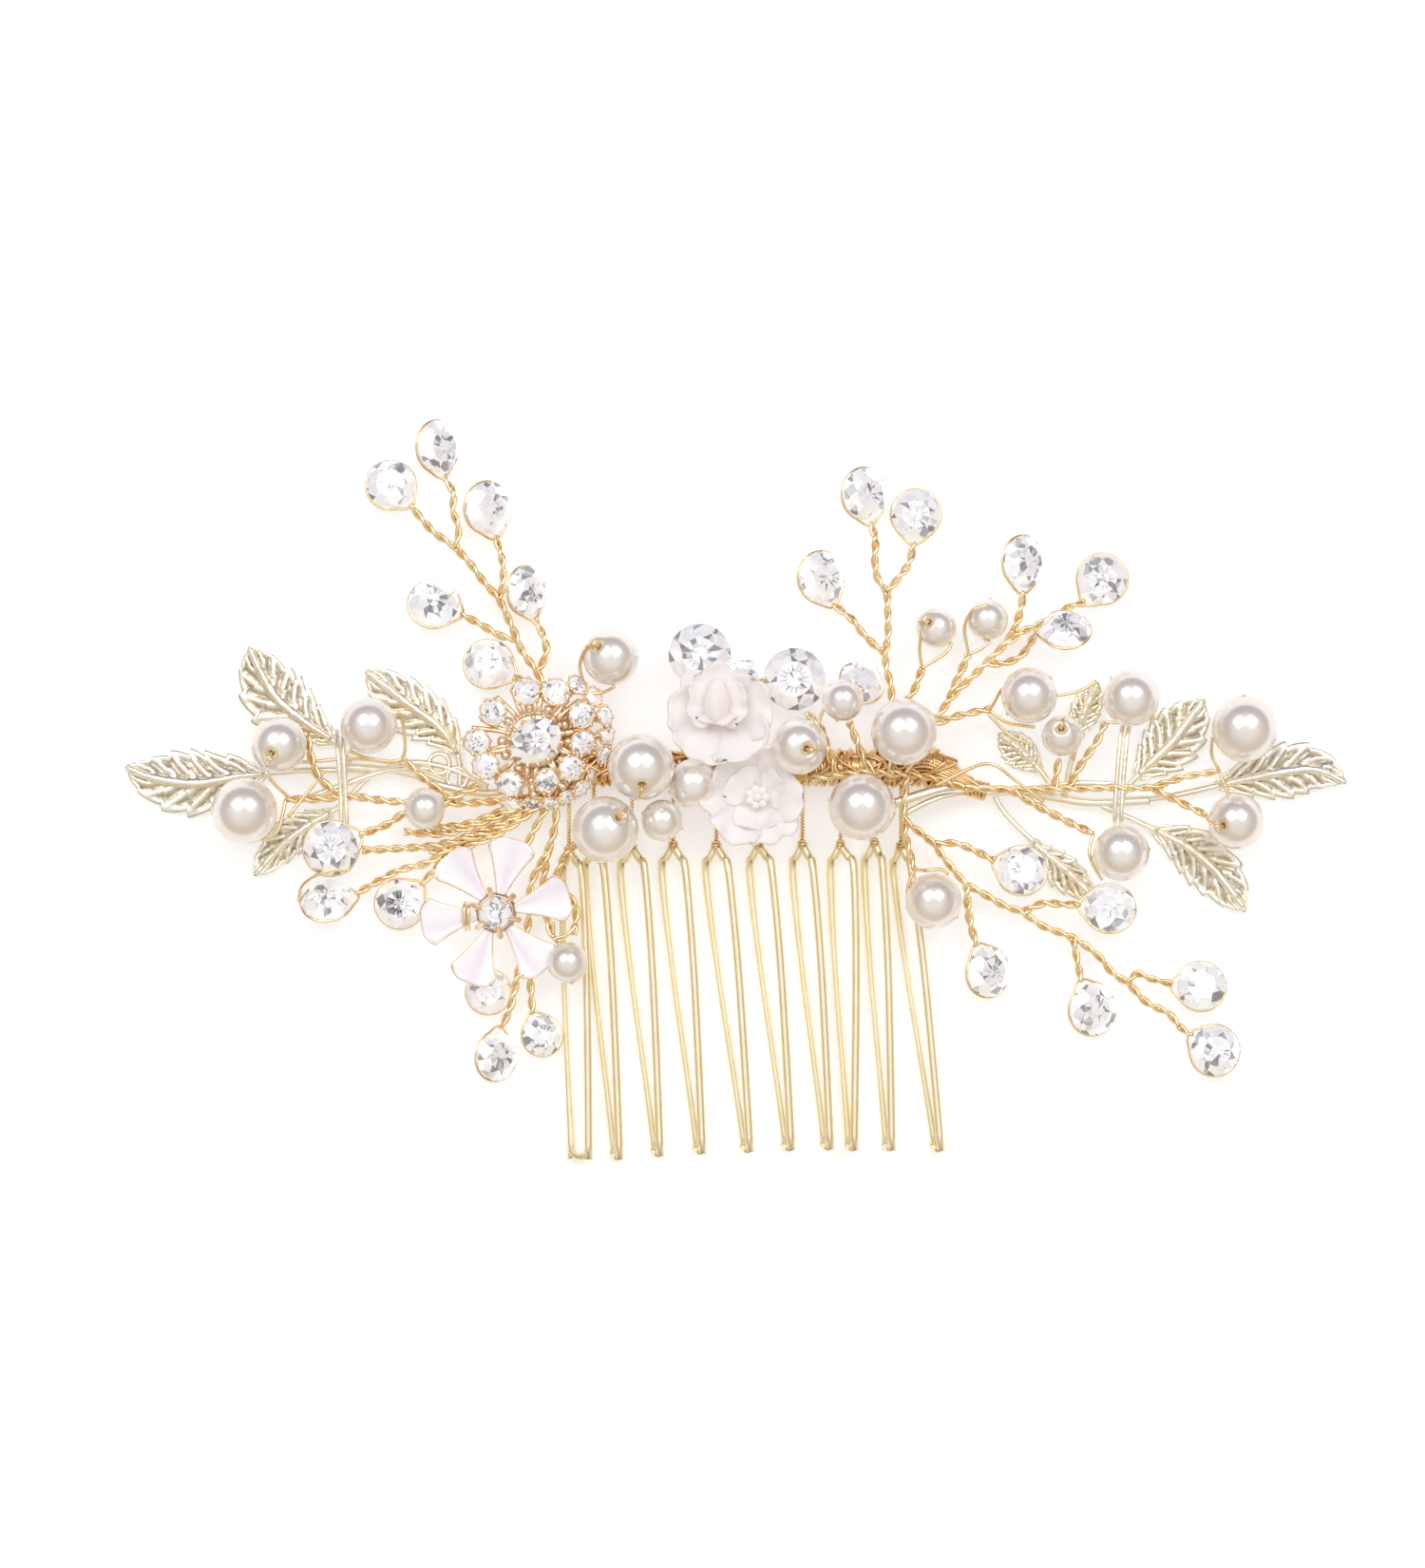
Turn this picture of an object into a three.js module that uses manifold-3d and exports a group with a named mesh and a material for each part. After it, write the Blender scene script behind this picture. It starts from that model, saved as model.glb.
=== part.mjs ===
// Decorative side comb for hair. A wire comb carries a spine wound with binding wire, two
// branches of stamped leaves, two sprays of twisted wire, pearls, clear stones and four flowers.
//
// Millimetres. The comb lies on its back: +Z leaves the decorated face, +X runs along the comb
// and +Y points away from the teeth. The origin is the middle of the underside.
import * as THREE from "three";
import { mergeVertices } from "three/addons/utils/BufferGeometryUtils.js";
import Module from "manifold-3d";

const wasm = await Module();
wasm.setup();

// Driving dimensions.
const GAP = 0.3; // between pieces that touch
const CUT = { table: 0.55, crown: 0.34, pavilion: 0.72, halfGirdle: 0.06 }; // over a stone's radius
const STONE_LEAN = 0.7; // share of a stone's apparent narrowing that is modelled as lean
const COMB_WIRE = 0.5; // radius of the comb's wire
const STEM_WIRE = 0.45; // radius over two thin wires twisted together
const THIN_WIRE = 0.22; // radius of one thin wire
const SPINE_TOP = 4.2; // height of the wound spine over the underside
const LEAF_EDGE = 0.7; // thickness of a leaf at its rim
const LEAF_RIDGE = 0.9; // further height of a leaf's midrib
const BACK_LEG = 0.5; // height of a tooth's rear leg
const FRONT_LEG = 2.1; // height of a tooth's front leg
const TIP_HALF = 0.35; // half the distance across, from leg to leg, at a tooth's tip
const SPINE_Y = 2.4; // middle line of the wound spine
const SEAT_LOW = 1; // underside of the pearls out in the sprays
const SEAT_LEAF = 2.5; // underside of the pearls that lie over leaves
const SEAT_TOOTH = 3; // underside of the pearls that lie over teeth
const SEAT_SPINE = 5.5; // underside of the pearls that lie over the spine
const OVER_SPINE = SPINE_TOP + GAP + STEM_WIRE; // height of a stem laid over the spine
const PEARL = { large: 8, medium: 6.8, button: 6, small: 5 };

const FINISH = {
  combGold: { color: 0xe6c987, roughness: 0.25, metalness: 1 },
  bindingGold: { color: 0xd9a55c, roughness: 0.3, metalness: 1 },
  leafGold: { color: 0xf1e3bd, roughness: 0.35, metalness: 1 },
  roseGold: { color: 0xe2ab7e, roughness: 0.3, metalness: 1 },
  pearl: { color: 0xefe5dc, roughness: 0.25, metalness: 0 },
  stone: { color: 0xeeeef4, roughness: 0.05, metalness: 0 },
  ceramic: { color: 0xf2ecf0, roughness: 0.6, metalness: 0 },
  enamel: { color: 0xefe3f0, roughness: 0.3, metalness: 0 },
};

const group = new THREE.Group();
const built = new Map();

// Shared geometry.

// A three.js geometry as a closed solid that can be joined and cut.
function solid(geometry) {
  const bare = new THREE.BufferGeometry();
  bare.setAttribute("position", geometry.getAttribute("position"));
  bare.setIndex(geometry.index);
  const welded = mergeVertices(bare, 1e-4);
  const vertProperties = welded.getAttribute("position").array;
  const triVerts = new Uint32Array(welded.index.array);
  return new wasm.Manifold(new wasm.Mesh({ numProp: 3, vertProperties, triVerts }));
}

function joined(solids) {
  return solids.reduce((sum, next) => sum.add(next));
}

function cutBy(target, blockers) {
  return blockers.reduce((rest, blocker) => rest.subtract(blocker), target);
}

// The largest of the bodies that a cut leaves.
function mainBody(manifold) {
  const bodies = manifold.decompose();
  return bodies.reduce((best, body) => (body.volume() > best.volume() ? body : best));
}

// A solid with about one gap's width added all round.
function grown(manifold) {
  const shifts = [-GAP, GAP].flatMap((step) => [
    [step, 0, 0],
    [0, step, 0],
    [0, 0, step],
  ]);
  return joined(shifts.map((shift) => manifold.translate(shift)));
}

// Adds a node and keeps its solid, so that later pieces can be cut to clear it.
function addNode(name, manifold, finish) {
  const mesh = manifold.getMesh();
  const geometry = new THREE.BufferGeometry();
  geometry.setAttribute("position", new THREE.BufferAttribute(mesh.vertProperties, 3));
  geometry.setIndex(new THREE.BufferAttribute(mesh.triVerts, 1));
  geometry.computeVertexNormals();
  const node = new THREE.Mesh(geometry, new THREE.MeshStandardMaterial(FINISH[finish]));
  node.name = name;
  group.add(node);
  built.set(name, manifold);
}

// A path with one ring of the swept tube at each of its points.
class WireRoute extends THREE.Curve {
  constructor(points) {
    super();
    this.points = points;
  }

  indexAt(u) {
    return Math.round(u * (this.points.length - 1));
  }

  getPointAt(u, target = new THREE.Vector3()) {
    return target.copy(this.points[this.indexAt(u)]);
  }

  getTangentAt(u, target = new THREE.Vector3()) {
    const i = this.indexAt(u);
    const before = this.points[Math.max(i - 1, 0)];
    const after = this.points[Math.min(i + 1, this.points.length - 1)];
    return target.copy(after).sub(before).normalize();
  }
}

function wire(points, radius, sides) {
  const corners = Array.from({ length: sides }, (_, i) => {
    const angle = (2 * Math.PI * i) / sides;
    return new THREE.Vector2(radius * Math.cos(angle), radius * Math.sin(angle));
  });
  const sweep = { steps: points.length - 1, extrudePath: new WireRoute(points) };
  return solid(new THREE.ExtrudeGeometry(new THREE.Shape(corners), sweep));
}

// Points [x, y] or [x, y, z] as vectors. A point without z takes its height from the points
// with z on either side, by its place in the list.
function route(points) {
  const known = points.flatMap((point, i) => (point.length === 3 ? [i] : []));
  return points.map((point, i) => {
    const after = known.find((k) => k >= i);
    const before = known.findLast((k) => k <= i);
    const share = after === before ? 0 : (i - before) / (after - before);
    const height = THREE.MathUtils.lerp(points[before][2], points[after][2], share);
    return new THREE.Vector3(point[0], point[1], height);
  });
}

function lathe(profile, segments) {
  const points = profile.map(([radius, height]) => new THREE.Vector2(radius, height));
  return new THREE.LatheGeometry(points, segments).rotateX(Math.PI / 2);
}

// Comb: ten hairpin teeth with pointed tops, each hung by a straight stem from a bar inside the
// spine. Each row holds the tooth's top, the tops of its left and right legs, and its tip.
const TEETH = [
  { top: [-20.2, -7.9], left: -21, right: -18.6, tip: [-18.9, -44.5], tipHalf: 1.05 },
  { top: [-17.2, -7.6], left: -18.3, right: -15.9, tip: [-14.5, -44.5] },
  { top: [-12.6, -7.5], left: -14, right: -11, tip: [-9.6, -44.1] },
  { top: [-7.6, -7.3], left: -9, right: -6.1, tip: [-4.5, -43.8] },
  { top: [-2.4, -7.3], left: -3.7, right: -0.9, tip: [1.2, -43.6] },
  { top: [2.7, -7.2], left: 1.6, right: 4.3, tip: [6.2, -43.4] },
  { top: [8, -7.2], left: 6.8, right: 9.3, tip: [10.9, -43.3] },
  { top: [12.6, -7.2], left: 11.4, right: 14.2, tip: [13.9, -43.4] },
  { top: [16.7, -7], left: 15.5, right: 17.7, tip: [18.4, -43.4] },
  { top: [19.9, -7.4], left: 19, right: 21.2, tip: [24.2, -43.5] },
];
const ARCH_DROP = 2.7; // from a tooth's top to where its legs run straight
const TIP_TURN = (FRONT_LEG - BACK_LEG) / 2; // depth of the bend at a tooth's tip

function toothRoute(tooth, backHeight, frontHeight) {
  const [topX, topY] = tooth.top;
  const [tipX, tipY] = tooth.tip;
  const tipHalf = tooth.tipHalf ?? TIP_HALF;
  const middle = (backHeight + frontHeight) / 2;
  const crown = new THREE.Vector3(topX, topY, middle);
  const legPoint = (x, height, share) => {
    const side = Math.sign(x - topX);
    const legX = THREE.MathUtils.lerp(x, tipX + side * tipHalf, share);
    const legY = THREE.MathUtils.lerp(topY - ARCH_DROP, tipY + TIP_TURN, share);
    return new THREE.Vector3(legX, legY, height);
  };
  const shoulder = (x, height) => {
    const between = THREE.MathUtils.lerp(topX, x, 0.7);
    return new THREE.Vector3(between, topY - 0.45 * ARCH_DROP, (middle + height) / 2);
  };
  const tip = [-1, -0.5, 0.5, 1].map((side) => {
    const angle = (side * Math.PI) / 3;
    const x = tipX + tipHalf * Math.sin(angle);
    const height = THREE.MathUtils.lerp(backHeight, frontHeight, (Math.sin(angle) + 1) / 2);
    return new THREE.Vector3(x, tipY + TIP_TURN * (1 - Math.cos(angle)), height);
  });
  const leftLeg = [0, 1].map((share) => legPoint(tooth.left, backHeight, share));
  const rightLeg = [1, 0].map((share) => legPoint(tooth.right, frontHeight, share));
  const rising = [...rightLeg, shoulder(tooth.right, frontHeight)];
  return [crown, shoulder(tooth.left, backHeight), ...leftLeg, ...tip, ...rising, crown];
}

function combFrame(radius) {
  const middle = (BACK_LEG + FRONT_LEG) / 2;
  const onSpine = (x) => new THREE.Vector3(x, SPINE_Y, middle);
  const barPoints = TEETH.map(({ top }) => onSpine(top[0]));
  const stems = TEETH.map(({ top }) => {
    const crown = new THREE.Vector3(top[0], top[1] - radius, middle);
    return wire([onSpine(top[0]), crown], radius, 6);
  });
  const teeth = TEETH.map((tooth) => wire(toothRoute(tooth, BACK_LEG, FRONT_LEG), radius, 6));
  return joined([wire(barPoints, radius, 6), ...stems, ...teeth]);
}

// Binding: the wound sleeve round the comb's bar, and its neck at the right end.
const SLEEVES = [
  { from: [-20.9, SPINE_Y], to: [24, SPINE_Y], startRadius: 2.1, endRadius: 2.2, turns: 19 },
  { from: [23.2, SPINE_Y], to: [28.4, 0.1], startRadius: 2.2, endRadius: 1.2, turns: 3 },
];
const TURN_DEPTH = 0.15; // between the crest and the groove of two turns

function sleeve({ from, to, startRadius, endRadius, turns }, extra) {
  const run = new THREE.Vector2(to[0] - from[0], to[1] - from[1]);
  const length = run.length();
  const profile = [[0, -extra]];
  for (let i = 0; i <= 2 * turns; i += 1) {
    const share = i / (2 * turns);
    const groove = i % 2 === 0 ? TURN_DEPTH : 0;
    const radius = THREE.MathUtils.lerp(startRadius, endRadius, share) - groove + extra;
    profile.push([radius, THREE.MathUtils.lerp(-extra, length + extra, share)]);
  }
  profile.push([0, length + extra]);
  const flatness = (SPINE_TOP / 2 - 0.1 + extra) / (Math.max(startRadius, endRadius) + extra);
  const geometry = lathe(profile, 8).rotateY(Math.PI / 2).scale(1, 1, flatness);
  geometry.rotateZ(run.angle()).translate(from[0], from[1], SPINE_TOP / 2 + 0.1);
  return solid(geometry);
}

// Pearls: [x, y, size, underside].
const PEARLS = [
  [-59.1, -2.7, "large", SEAT_LEAF],
  [-55, 5.3, "medium", SEAT_LEAF],
  [-44.2, 7.6, "medium", SEAT_LEAF],
  [-37.4, -2.4, "small", 4],
  [-15.1, 15.8, "medium", SEAT_LEAF],
  [-11.4, 2.6, "large", SEAT_SPINE],
  [-15.7, -4.9, "large", SEAT_SPINE],
  [-5.2, 0.6, "button", 3.1],
  [-8.9, -3.8, "small", SEAT_SPINE],
  [7.5, 5.1, "medium", SEAT_SPINE],
  [12.8, 10.6, "small", SEAT_SPINE],
  [20.1, 6.8, "large", SEAT_SPINE],
  [15, -2.2, "large", SEAT_SPINE],
  [24.1, 19.4, "small", SEAT_LOW],
  [30.3, 20.4, "small", SEAT_LOW],
  [35.2, 11.2, "medium", SEAT_LEAF],
  [39.2, 6.4, "small", SEAT_LEAF],
  [47.5, 10.9, "medium", SEAT_LEAF],
  [61.1, 7.2, "large", SEAT_LEAF],
  [60.1, -3.9, "medium", SEAT_LEAF],
  [46.3, -7.7, "medium", SEAT_LEAF],
  [23.7, -13.5, "medium", SEAT_TOOTH],
  [-20.3, -20.9, "small", SEAT_TOOTH],
];

function pearl([x, y, size, underside], extra) {
  const radius = PEARL[size] / 2;
  const ball = new THREE.SphereGeometry(radius + extra, 10, 7).rotateX(Math.PI / 2);
  return solid(ball.translate(x, y, underside + radius));
}

// Clear stones: [name, x, y, width, height, underside]. The round stone leans over until it
// shows this width and height from the front.
const STONES = [
  ["left_top_1", -41.7, 36.7, 6, 5.8, 0],
  ["left_top_2", -35.9, 41.3, 5.2, 6.4, 0],
  ["left_top_3", -29.9, 33.9, 5.6, 6.4, 0],
  ["left_top_4", -25.2, 23.9, 4.8, 6.1, 0],
  ["left_top_5", -36.5, 22.4, 6.2, 5.8, 0],
  ["left_top_6", -29.9, 15.1, 6, 5.8, 0],
  ["left_low_1", -48.8, -7.2, 6.6, 6.6, SEAT_LEAF],
  ["left_low_2", -49.4, -13.4, 6.4, 5.2, 0.2],
  ["left_low_3", -40.6, -13.9, 6, 6, 0.2],
  ["left_low_4", -28.9, -32.3, 5, 6, 0],
  ["left_low_5", -23.4, -29.8, 4.8, 5, 0],
  ["middle_1", -4.4, 16.1, 7.6, 7.6, 1],
  ["middle_2", 7, 13.2, 7.6, 7.6, 1],
  ["right_top_1", 10.4, 25.5, 5.7, 6.4, 0],
  ["right_top_2", 15.6, 35.6, 5.6, 6.4, 0],
  ["right_top_3", 21.7, 33.1, 6, 6, 0],
  ["right_top_4", 34.8, 27.4, 5.4, 6.4, 0],
  ["right_top_5", 44.2, 25.3, 6.1, 6.1, 0],
  ["right_top_6", 39.7, 19.2, 6, 4.8, 3.2],
  ["right_low_1", 34.4, -9.8, 6, 5.8, 2.2],
  ["right_low_2", 45, -14.3, 6.2, 5.8, 2.2],
  ["right_low_3", 30.5, -22.1, 5.4, 6.2, 0],
  ["right_low_4", 43.1, -26.6, 5.8, 6.4, 0],
  ["right_low_5", 56.1, -23.8, 6, 5.8, 0],
  ["right_low_6", 57.8, -31.6, 6, 6.2, 0],
];

// A round brilliant with its girdle in the XY plane.
function brilliant(radius, segments) {
  const [table, crown] = [CUT.table * radius, CUT.crown * radius];
  const [pavilion, halfGirdle] = [CUT.pavilion * radius, CUT.halfGirdle * radius];
  return lathe(
    [
      [0, -pavilion],
      [radius, -halfGirdle],
      [radius, halfGirdle],
      [table, crown],
      [0, crown],
    ],
    segments,
  );
}

// How a stone leans and where the middle of its girdle lies.
function stonePlace([, x, y, width, height, underside]) {
  const radius = Math.max(width, height) / 2;
  const lean = STONE_LEAN * Math.acos(Math.min(width, height) / (2 * radius));
  const turn = new THREE.Matrix4();
  if (width < height) turn.makeRotationY(lean);
  else turn.makeRotationX(-lean);
  const upright = brilliant(radius, 8).applyMatrix4(turn);
  upright.computeBoundingBox();
  const lift = underside - upright.boundingBox.min.z;
  const place = new THREE.Matrix4().makeTranslation(x, y, lift).multiply(turn);
  return { radius, place };
}

function stone(entry, extra) {
  const { radius, place } = stonePlace(entry);
  const scale = (radius + extra) / radius;
  const geometry = brilliant(radius, 8).scale(scale, scale, scale + extra / radius);
  return solid(geometry.applyMatrix4(place));
}

// The loop of thin wire round a stone's girdle.
function girdleLoop(entry) {
  const { radius, place } = stonePlace(entry);
  const loop = new THREE.TorusGeometry(radius + GAP + THIN_WIRE, THIN_WIRE, 4, 10);
  return solid(loop.applyMatrix4(place));
}

// The point of a stone's girdle loop that is nearest to a stem's first point.
function girdlePoint(entry, [x, y]) {
  const { radius, place } = stonePlace(entry);
  const local = new THREE.Vector3(x, y, 0).applyMatrix4(place.clone().invert()).setZ(0);
  return local.setLength(radius + GAP + THIN_WIRE).applyMatrix4(place);
}

// Leaves: flat underneath, with a serrated rim and a raised midrib. The midrib runs from the
// tip to the base.
const LEFT_LEAVES = [
  { rib: [[-73.7, 2.6], [-70, 1.2], [-65, 0.7], [-60, 1.5], [-52, 2.2], [-42, 2.2]], half: 3.8 },
  { rib: [[-58.8, 17], [-56, 11.5], [-52, 8], [-48.2, 5.4], [-46.5, 2.6]], half: 4 },
  { rib: [[-44.7, 14.2], [-40, 10.5], [-36, 7.5], [-33.6, 4], [-33.4, 0]], half: 2.8 },
  { rib: [[-58.1, -10.4], [-54.5, -6.5], [-51, -4], [-48, -2.2], [-44, 1.8]], half: 2.8 },
];
const RIGHT_LEAVES = [
  { rib: [[73.6, 0.8], [70, 2.3], [66, 2], [60, 0.8], [53, -0.8], [45, -1.9]], half: 3.4 },
  { rib: [[61.5, -14.7], [58, -10], [54.5, -7], [50, -4.7], [44, -2]], half: 3.6 },
  { rib: [[56.5, 10.7], [53, 6], [50, 3], [48, 1], [46, -1.7]], half: 3.2 },
  { rib: [[43.7, 12.7], [42.2, 9.6], [41, 5.5], [39.6, -1]], half: 1.5 },
  { rib: [[43.4, -13.2], [40, -9.9], [36, -6.5], [32.5, -3], [31, -0.4]], half: 3 },
  { rib: [[36.4, 9.4], [35, 5.6], [34, 2], [33.4, -0.4]], half: 2 },
];
const LEFT_STALK = [[-44, 2.2], [-39.5, 1.8], [-35.8, 0.4], [-30, -0.6], [-25.5, 0.6], [-21, 2]];
const RIGHT_STALK = [[47, -1.8], [43, -1.7], [38, -1], [33, -0.4], [28.7, 0]];
const STALK_RADIUS = 0.9;
const TEETH_PER_SIDE = 7; // points of the rim on each side of a leaf
const LOOP_OPENINGS = [[-35.9, 3], [-33.7, 1.3]]; // wire eyes at the foot of the left leaves

function leaf({ rib, half }) {
  const midrib = new THREE.CatmullRomCurve3(rib.map(([x, y]) => new THREE.Vector3(x, y, 0)));
  const stations = 2 * TEETH_PER_SIDE;
  const geometry = new THREE.BoxGeometry(1, 1, 1, stations, 2, 1);
  const position = geometry.getAttribute("position");
  const up = new THREE.Vector3(0, 0, 1);
  for (let i = 0; i < position.count; i += 1) {
    const share = position.getX(i) + 0.5;
    const across = 2 * position.getY(i);
    const notch = Math.round(share * stations) % 2 === 0 ? 0.82 : 1;
    const width = half * notch * Math.max(Math.sin(Math.PI * share ** 0.75), 0.14);
    const side = midrib.getTangent(share).cross(up).normalize();
    const spot = midrib.getPoint(share).addScaledVector(side, -across * width);
    const top = LEAF_EDGE + LEAF_RIDGE * (1 - Math.abs(across));
    position.setXYZ(i, spot.x, spot.y, position.getZ(i) > 0 ? top : 0);
  }
  return solid(geometry);
}

function leafBranch(leaves, stalk, eyes) {
  const line = stalk.map(([x, y]) => new THREE.Vector3(x, y, STALK_RADIUS + 0.1));
  const rings = eyes.map(([x, y]) =>
    solid(new THREE.TorusGeometry(1.3, 0.4, 5, 10).translate(x, y, STALK_RADIUS + 0.1)),
  );
  return joined([wire(line, STALK_RADIUS, 8), ...leaves.map(leaf), ...rings]);
}

// White flowers: a dish whose rim waves in and out and up and down, five waves round.
function ruffledDish(radius, rise, lobes) {
  const geometry = lathe(
    [
      [0, 0],
      [0.45 * radius, 0.1 * rise],
      [0.96 * radius, 0.75 * rise],
      [radius, rise],
      [0.5 * radius, 0.55 * rise],
      [0, 0.5 * rise],
    ],
    6 * lobes,
  );
  const position = geometry.getAttribute("position");
  for (let i = 0; i < position.count; i += 1) {
    const [x, y] = [position.getX(i), position.getY(i)];
    const out = Math.hypot(x, y) / radius;
    const wave = lobes * Math.atan2(y, x);
    const scale = 1 + 0.09 * out * Math.cos(wave);
    const height = position.getZ(i) + 0.45 * out ** 3 * Math.sin(wave);
    position.setXYZ(i, x * scale, y * scale, height);
  }
  return geometry;
}

const ROSE = { x: -2.4, y: 9, z: 8.2, radius: 5.7, rise: 2.6 };
const BLOSSOM = { x: 1.9, y: -1, z: 5.6, radius: 5.5, rise: 2.4 };

function rose() {
  const dish = ruffledDish(ROSE.radius, ROSE.rise, 5).translate(ROSE.x, ROSE.y, ROSE.z);
  const bud = new THREE.SphereGeometry(1, 10, 7).scale(1.6, 2.5, 1.9);
  bud.translate(ROSE.x - 0.3, ROSE.y + 1, ROSE.z + ROSE.rise);
  const wrap = ruffledDish(0.6 * ROSE.radius, ROSE.rise, 3);
  wrap.translate(ROSE.x - 0.2, ROSE.y + 0.6, ROSE.z + 0.4 * ROSE.rise);
  return joined([solid(dish), solid(bud), solid(wrap)]);
}

function blossom() {
  const dish = ruffledDish(BLOSSOM.radius, BLOSSOM.rise, 5);
  const stamens = new THREE.IcosahedronGeometry(1.1, 1);
  stamens.translate(0.4, 0, 0.7 * BLOSSOM.rise);
  return joined([solid(dish), solid(stamens)]).translate([BLOSSOM.x, BLOSSOM.y, BLOSSOM.z]);
}

// Cluster flower: a dished base with a collar for its oval stone and cups for small stones.
const CLUSTER = { x: -24.2, y: 5.9, z: 4.8, radius: 7.2 };
const CLUSTER_STONE = 2.7;
const INNER_CUPS = { count: 9, radius: 5.4, z: 0.9, firstAngle: 0.3, step: (2 * Math.PI) / 9 };
const OUTER_CUPS = { count: 6, radius: 7.3, z: 0.3, firstAngle: -2, step: 0.55 };

function smallCup(x, y, z) {
  const cup = lathe(
    [
      [0, 0],
      [1.1, 0],
      [1.6, 1.4],
      [0.8, 2],
      [0, 2],
    ],
    6,
  );
  return solid(cup.translate(x, y, z));
}

// An upright ring that holds a stone with a gap all round.
function collar(stoneRadius, z) {
  const inner = stoneRadius + GAP;
  const outer = inner + 0.5;
  const height = 1.6;
  const corners = [
    [inner, z],
    [outer, z],
    [outer, z + height],
    [inner, z + height],
    [inner, z],
  ];
  return solid(lathe(corners, 14));
}

function cupRing({ count, radius, z, firstAngle, step }) {
  return Array.from({ length: count }, (_, i) => {
    const angle = firstAngle + i * step;
    return smallCup(radius * Math.cos(angle), radius * Math.sin(angle), z);
  });
}

function clusterFlower() {
  const base = lathe(
    [
      [0, 0],
      [4.2, 0],
      [CLUSTER.radius, 0.9],
      [CLUSTER.radius, 1.7],
      [4.4, 1],
      [0, 1],
    ],
    18,
  );
  const cups = [INNER_CUPS, OUTER_CUPS].flatMap(cupRing);
  const parts = [solid(base), collar(CLUSTER_STONE, 0.8), ...cups];
  return joined(parts).translate([CLUSTER.x, CLUSTER.y, CLUSTER.z]);
}

// Enamel flower: six fluted petals that widen outwards, on a round centre with a collar.
const ENAMEL = { x: -28.9, y: -14.9, z: 4.3, thick: 0.9 };
const ENAMEL_STONE = 1.7;
const PETALS = 6;

function enamelPetal(index) {
  const [root, shoulder, end, narrow, wide] = [1.6, 7, 8.8, 0.8, 2.8];
  const outline = new THREE.Shape();
  outline.moveTo(root, -narrow);
  outline.lineTo(shoulder, -wide);
  outline.quadraticCurveTo(end, -wide, end, -0.35 * wide);
  outline.lineTo(end - 0.3, 0);
  outline.lineTo(end, 0.35 * wide);
  outline.quadraticCurveTo(end, wide, shoulder, wide);
  outline.lineTo(root, narrow);
  outline.closePath();
  const options = { depth: ENAMEL.thick, bevelEnabled: false, curveSegments: 3 };
  const petal = new THREE.ExtrudeGeometry(outline, options);
  const firstAngle = 0.25;
  return solid(petal.rotateZ(firstAngle + (index * 2 * Math.PI) / PETALS));
}

function enamelFlower() {
  const petals = Array.from({ length: PETALS }, (_, i) => enamelPetal(i));
  const centre = lathe([[0, 0], [2.6, 0], [2.6, ENAMEL.thick], [0, ENAMEL.thick]], 14);
  const parts = [solid(centre), ...petals, collar(ENAMEL_STONE, ENAMEL.thick - 0.1)];
  return joined(parts).translate([ENAMEL.x, ENAMEL.y, ENAMEL.z]);
}

function setStone(radius, place, floor) {
  const girdle = place.z + floor + GAP + CUT.pavilion * radius;
  return solid(brilliant(radius, 8)).translate([place.x, place.y, girdle]);
}

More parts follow.
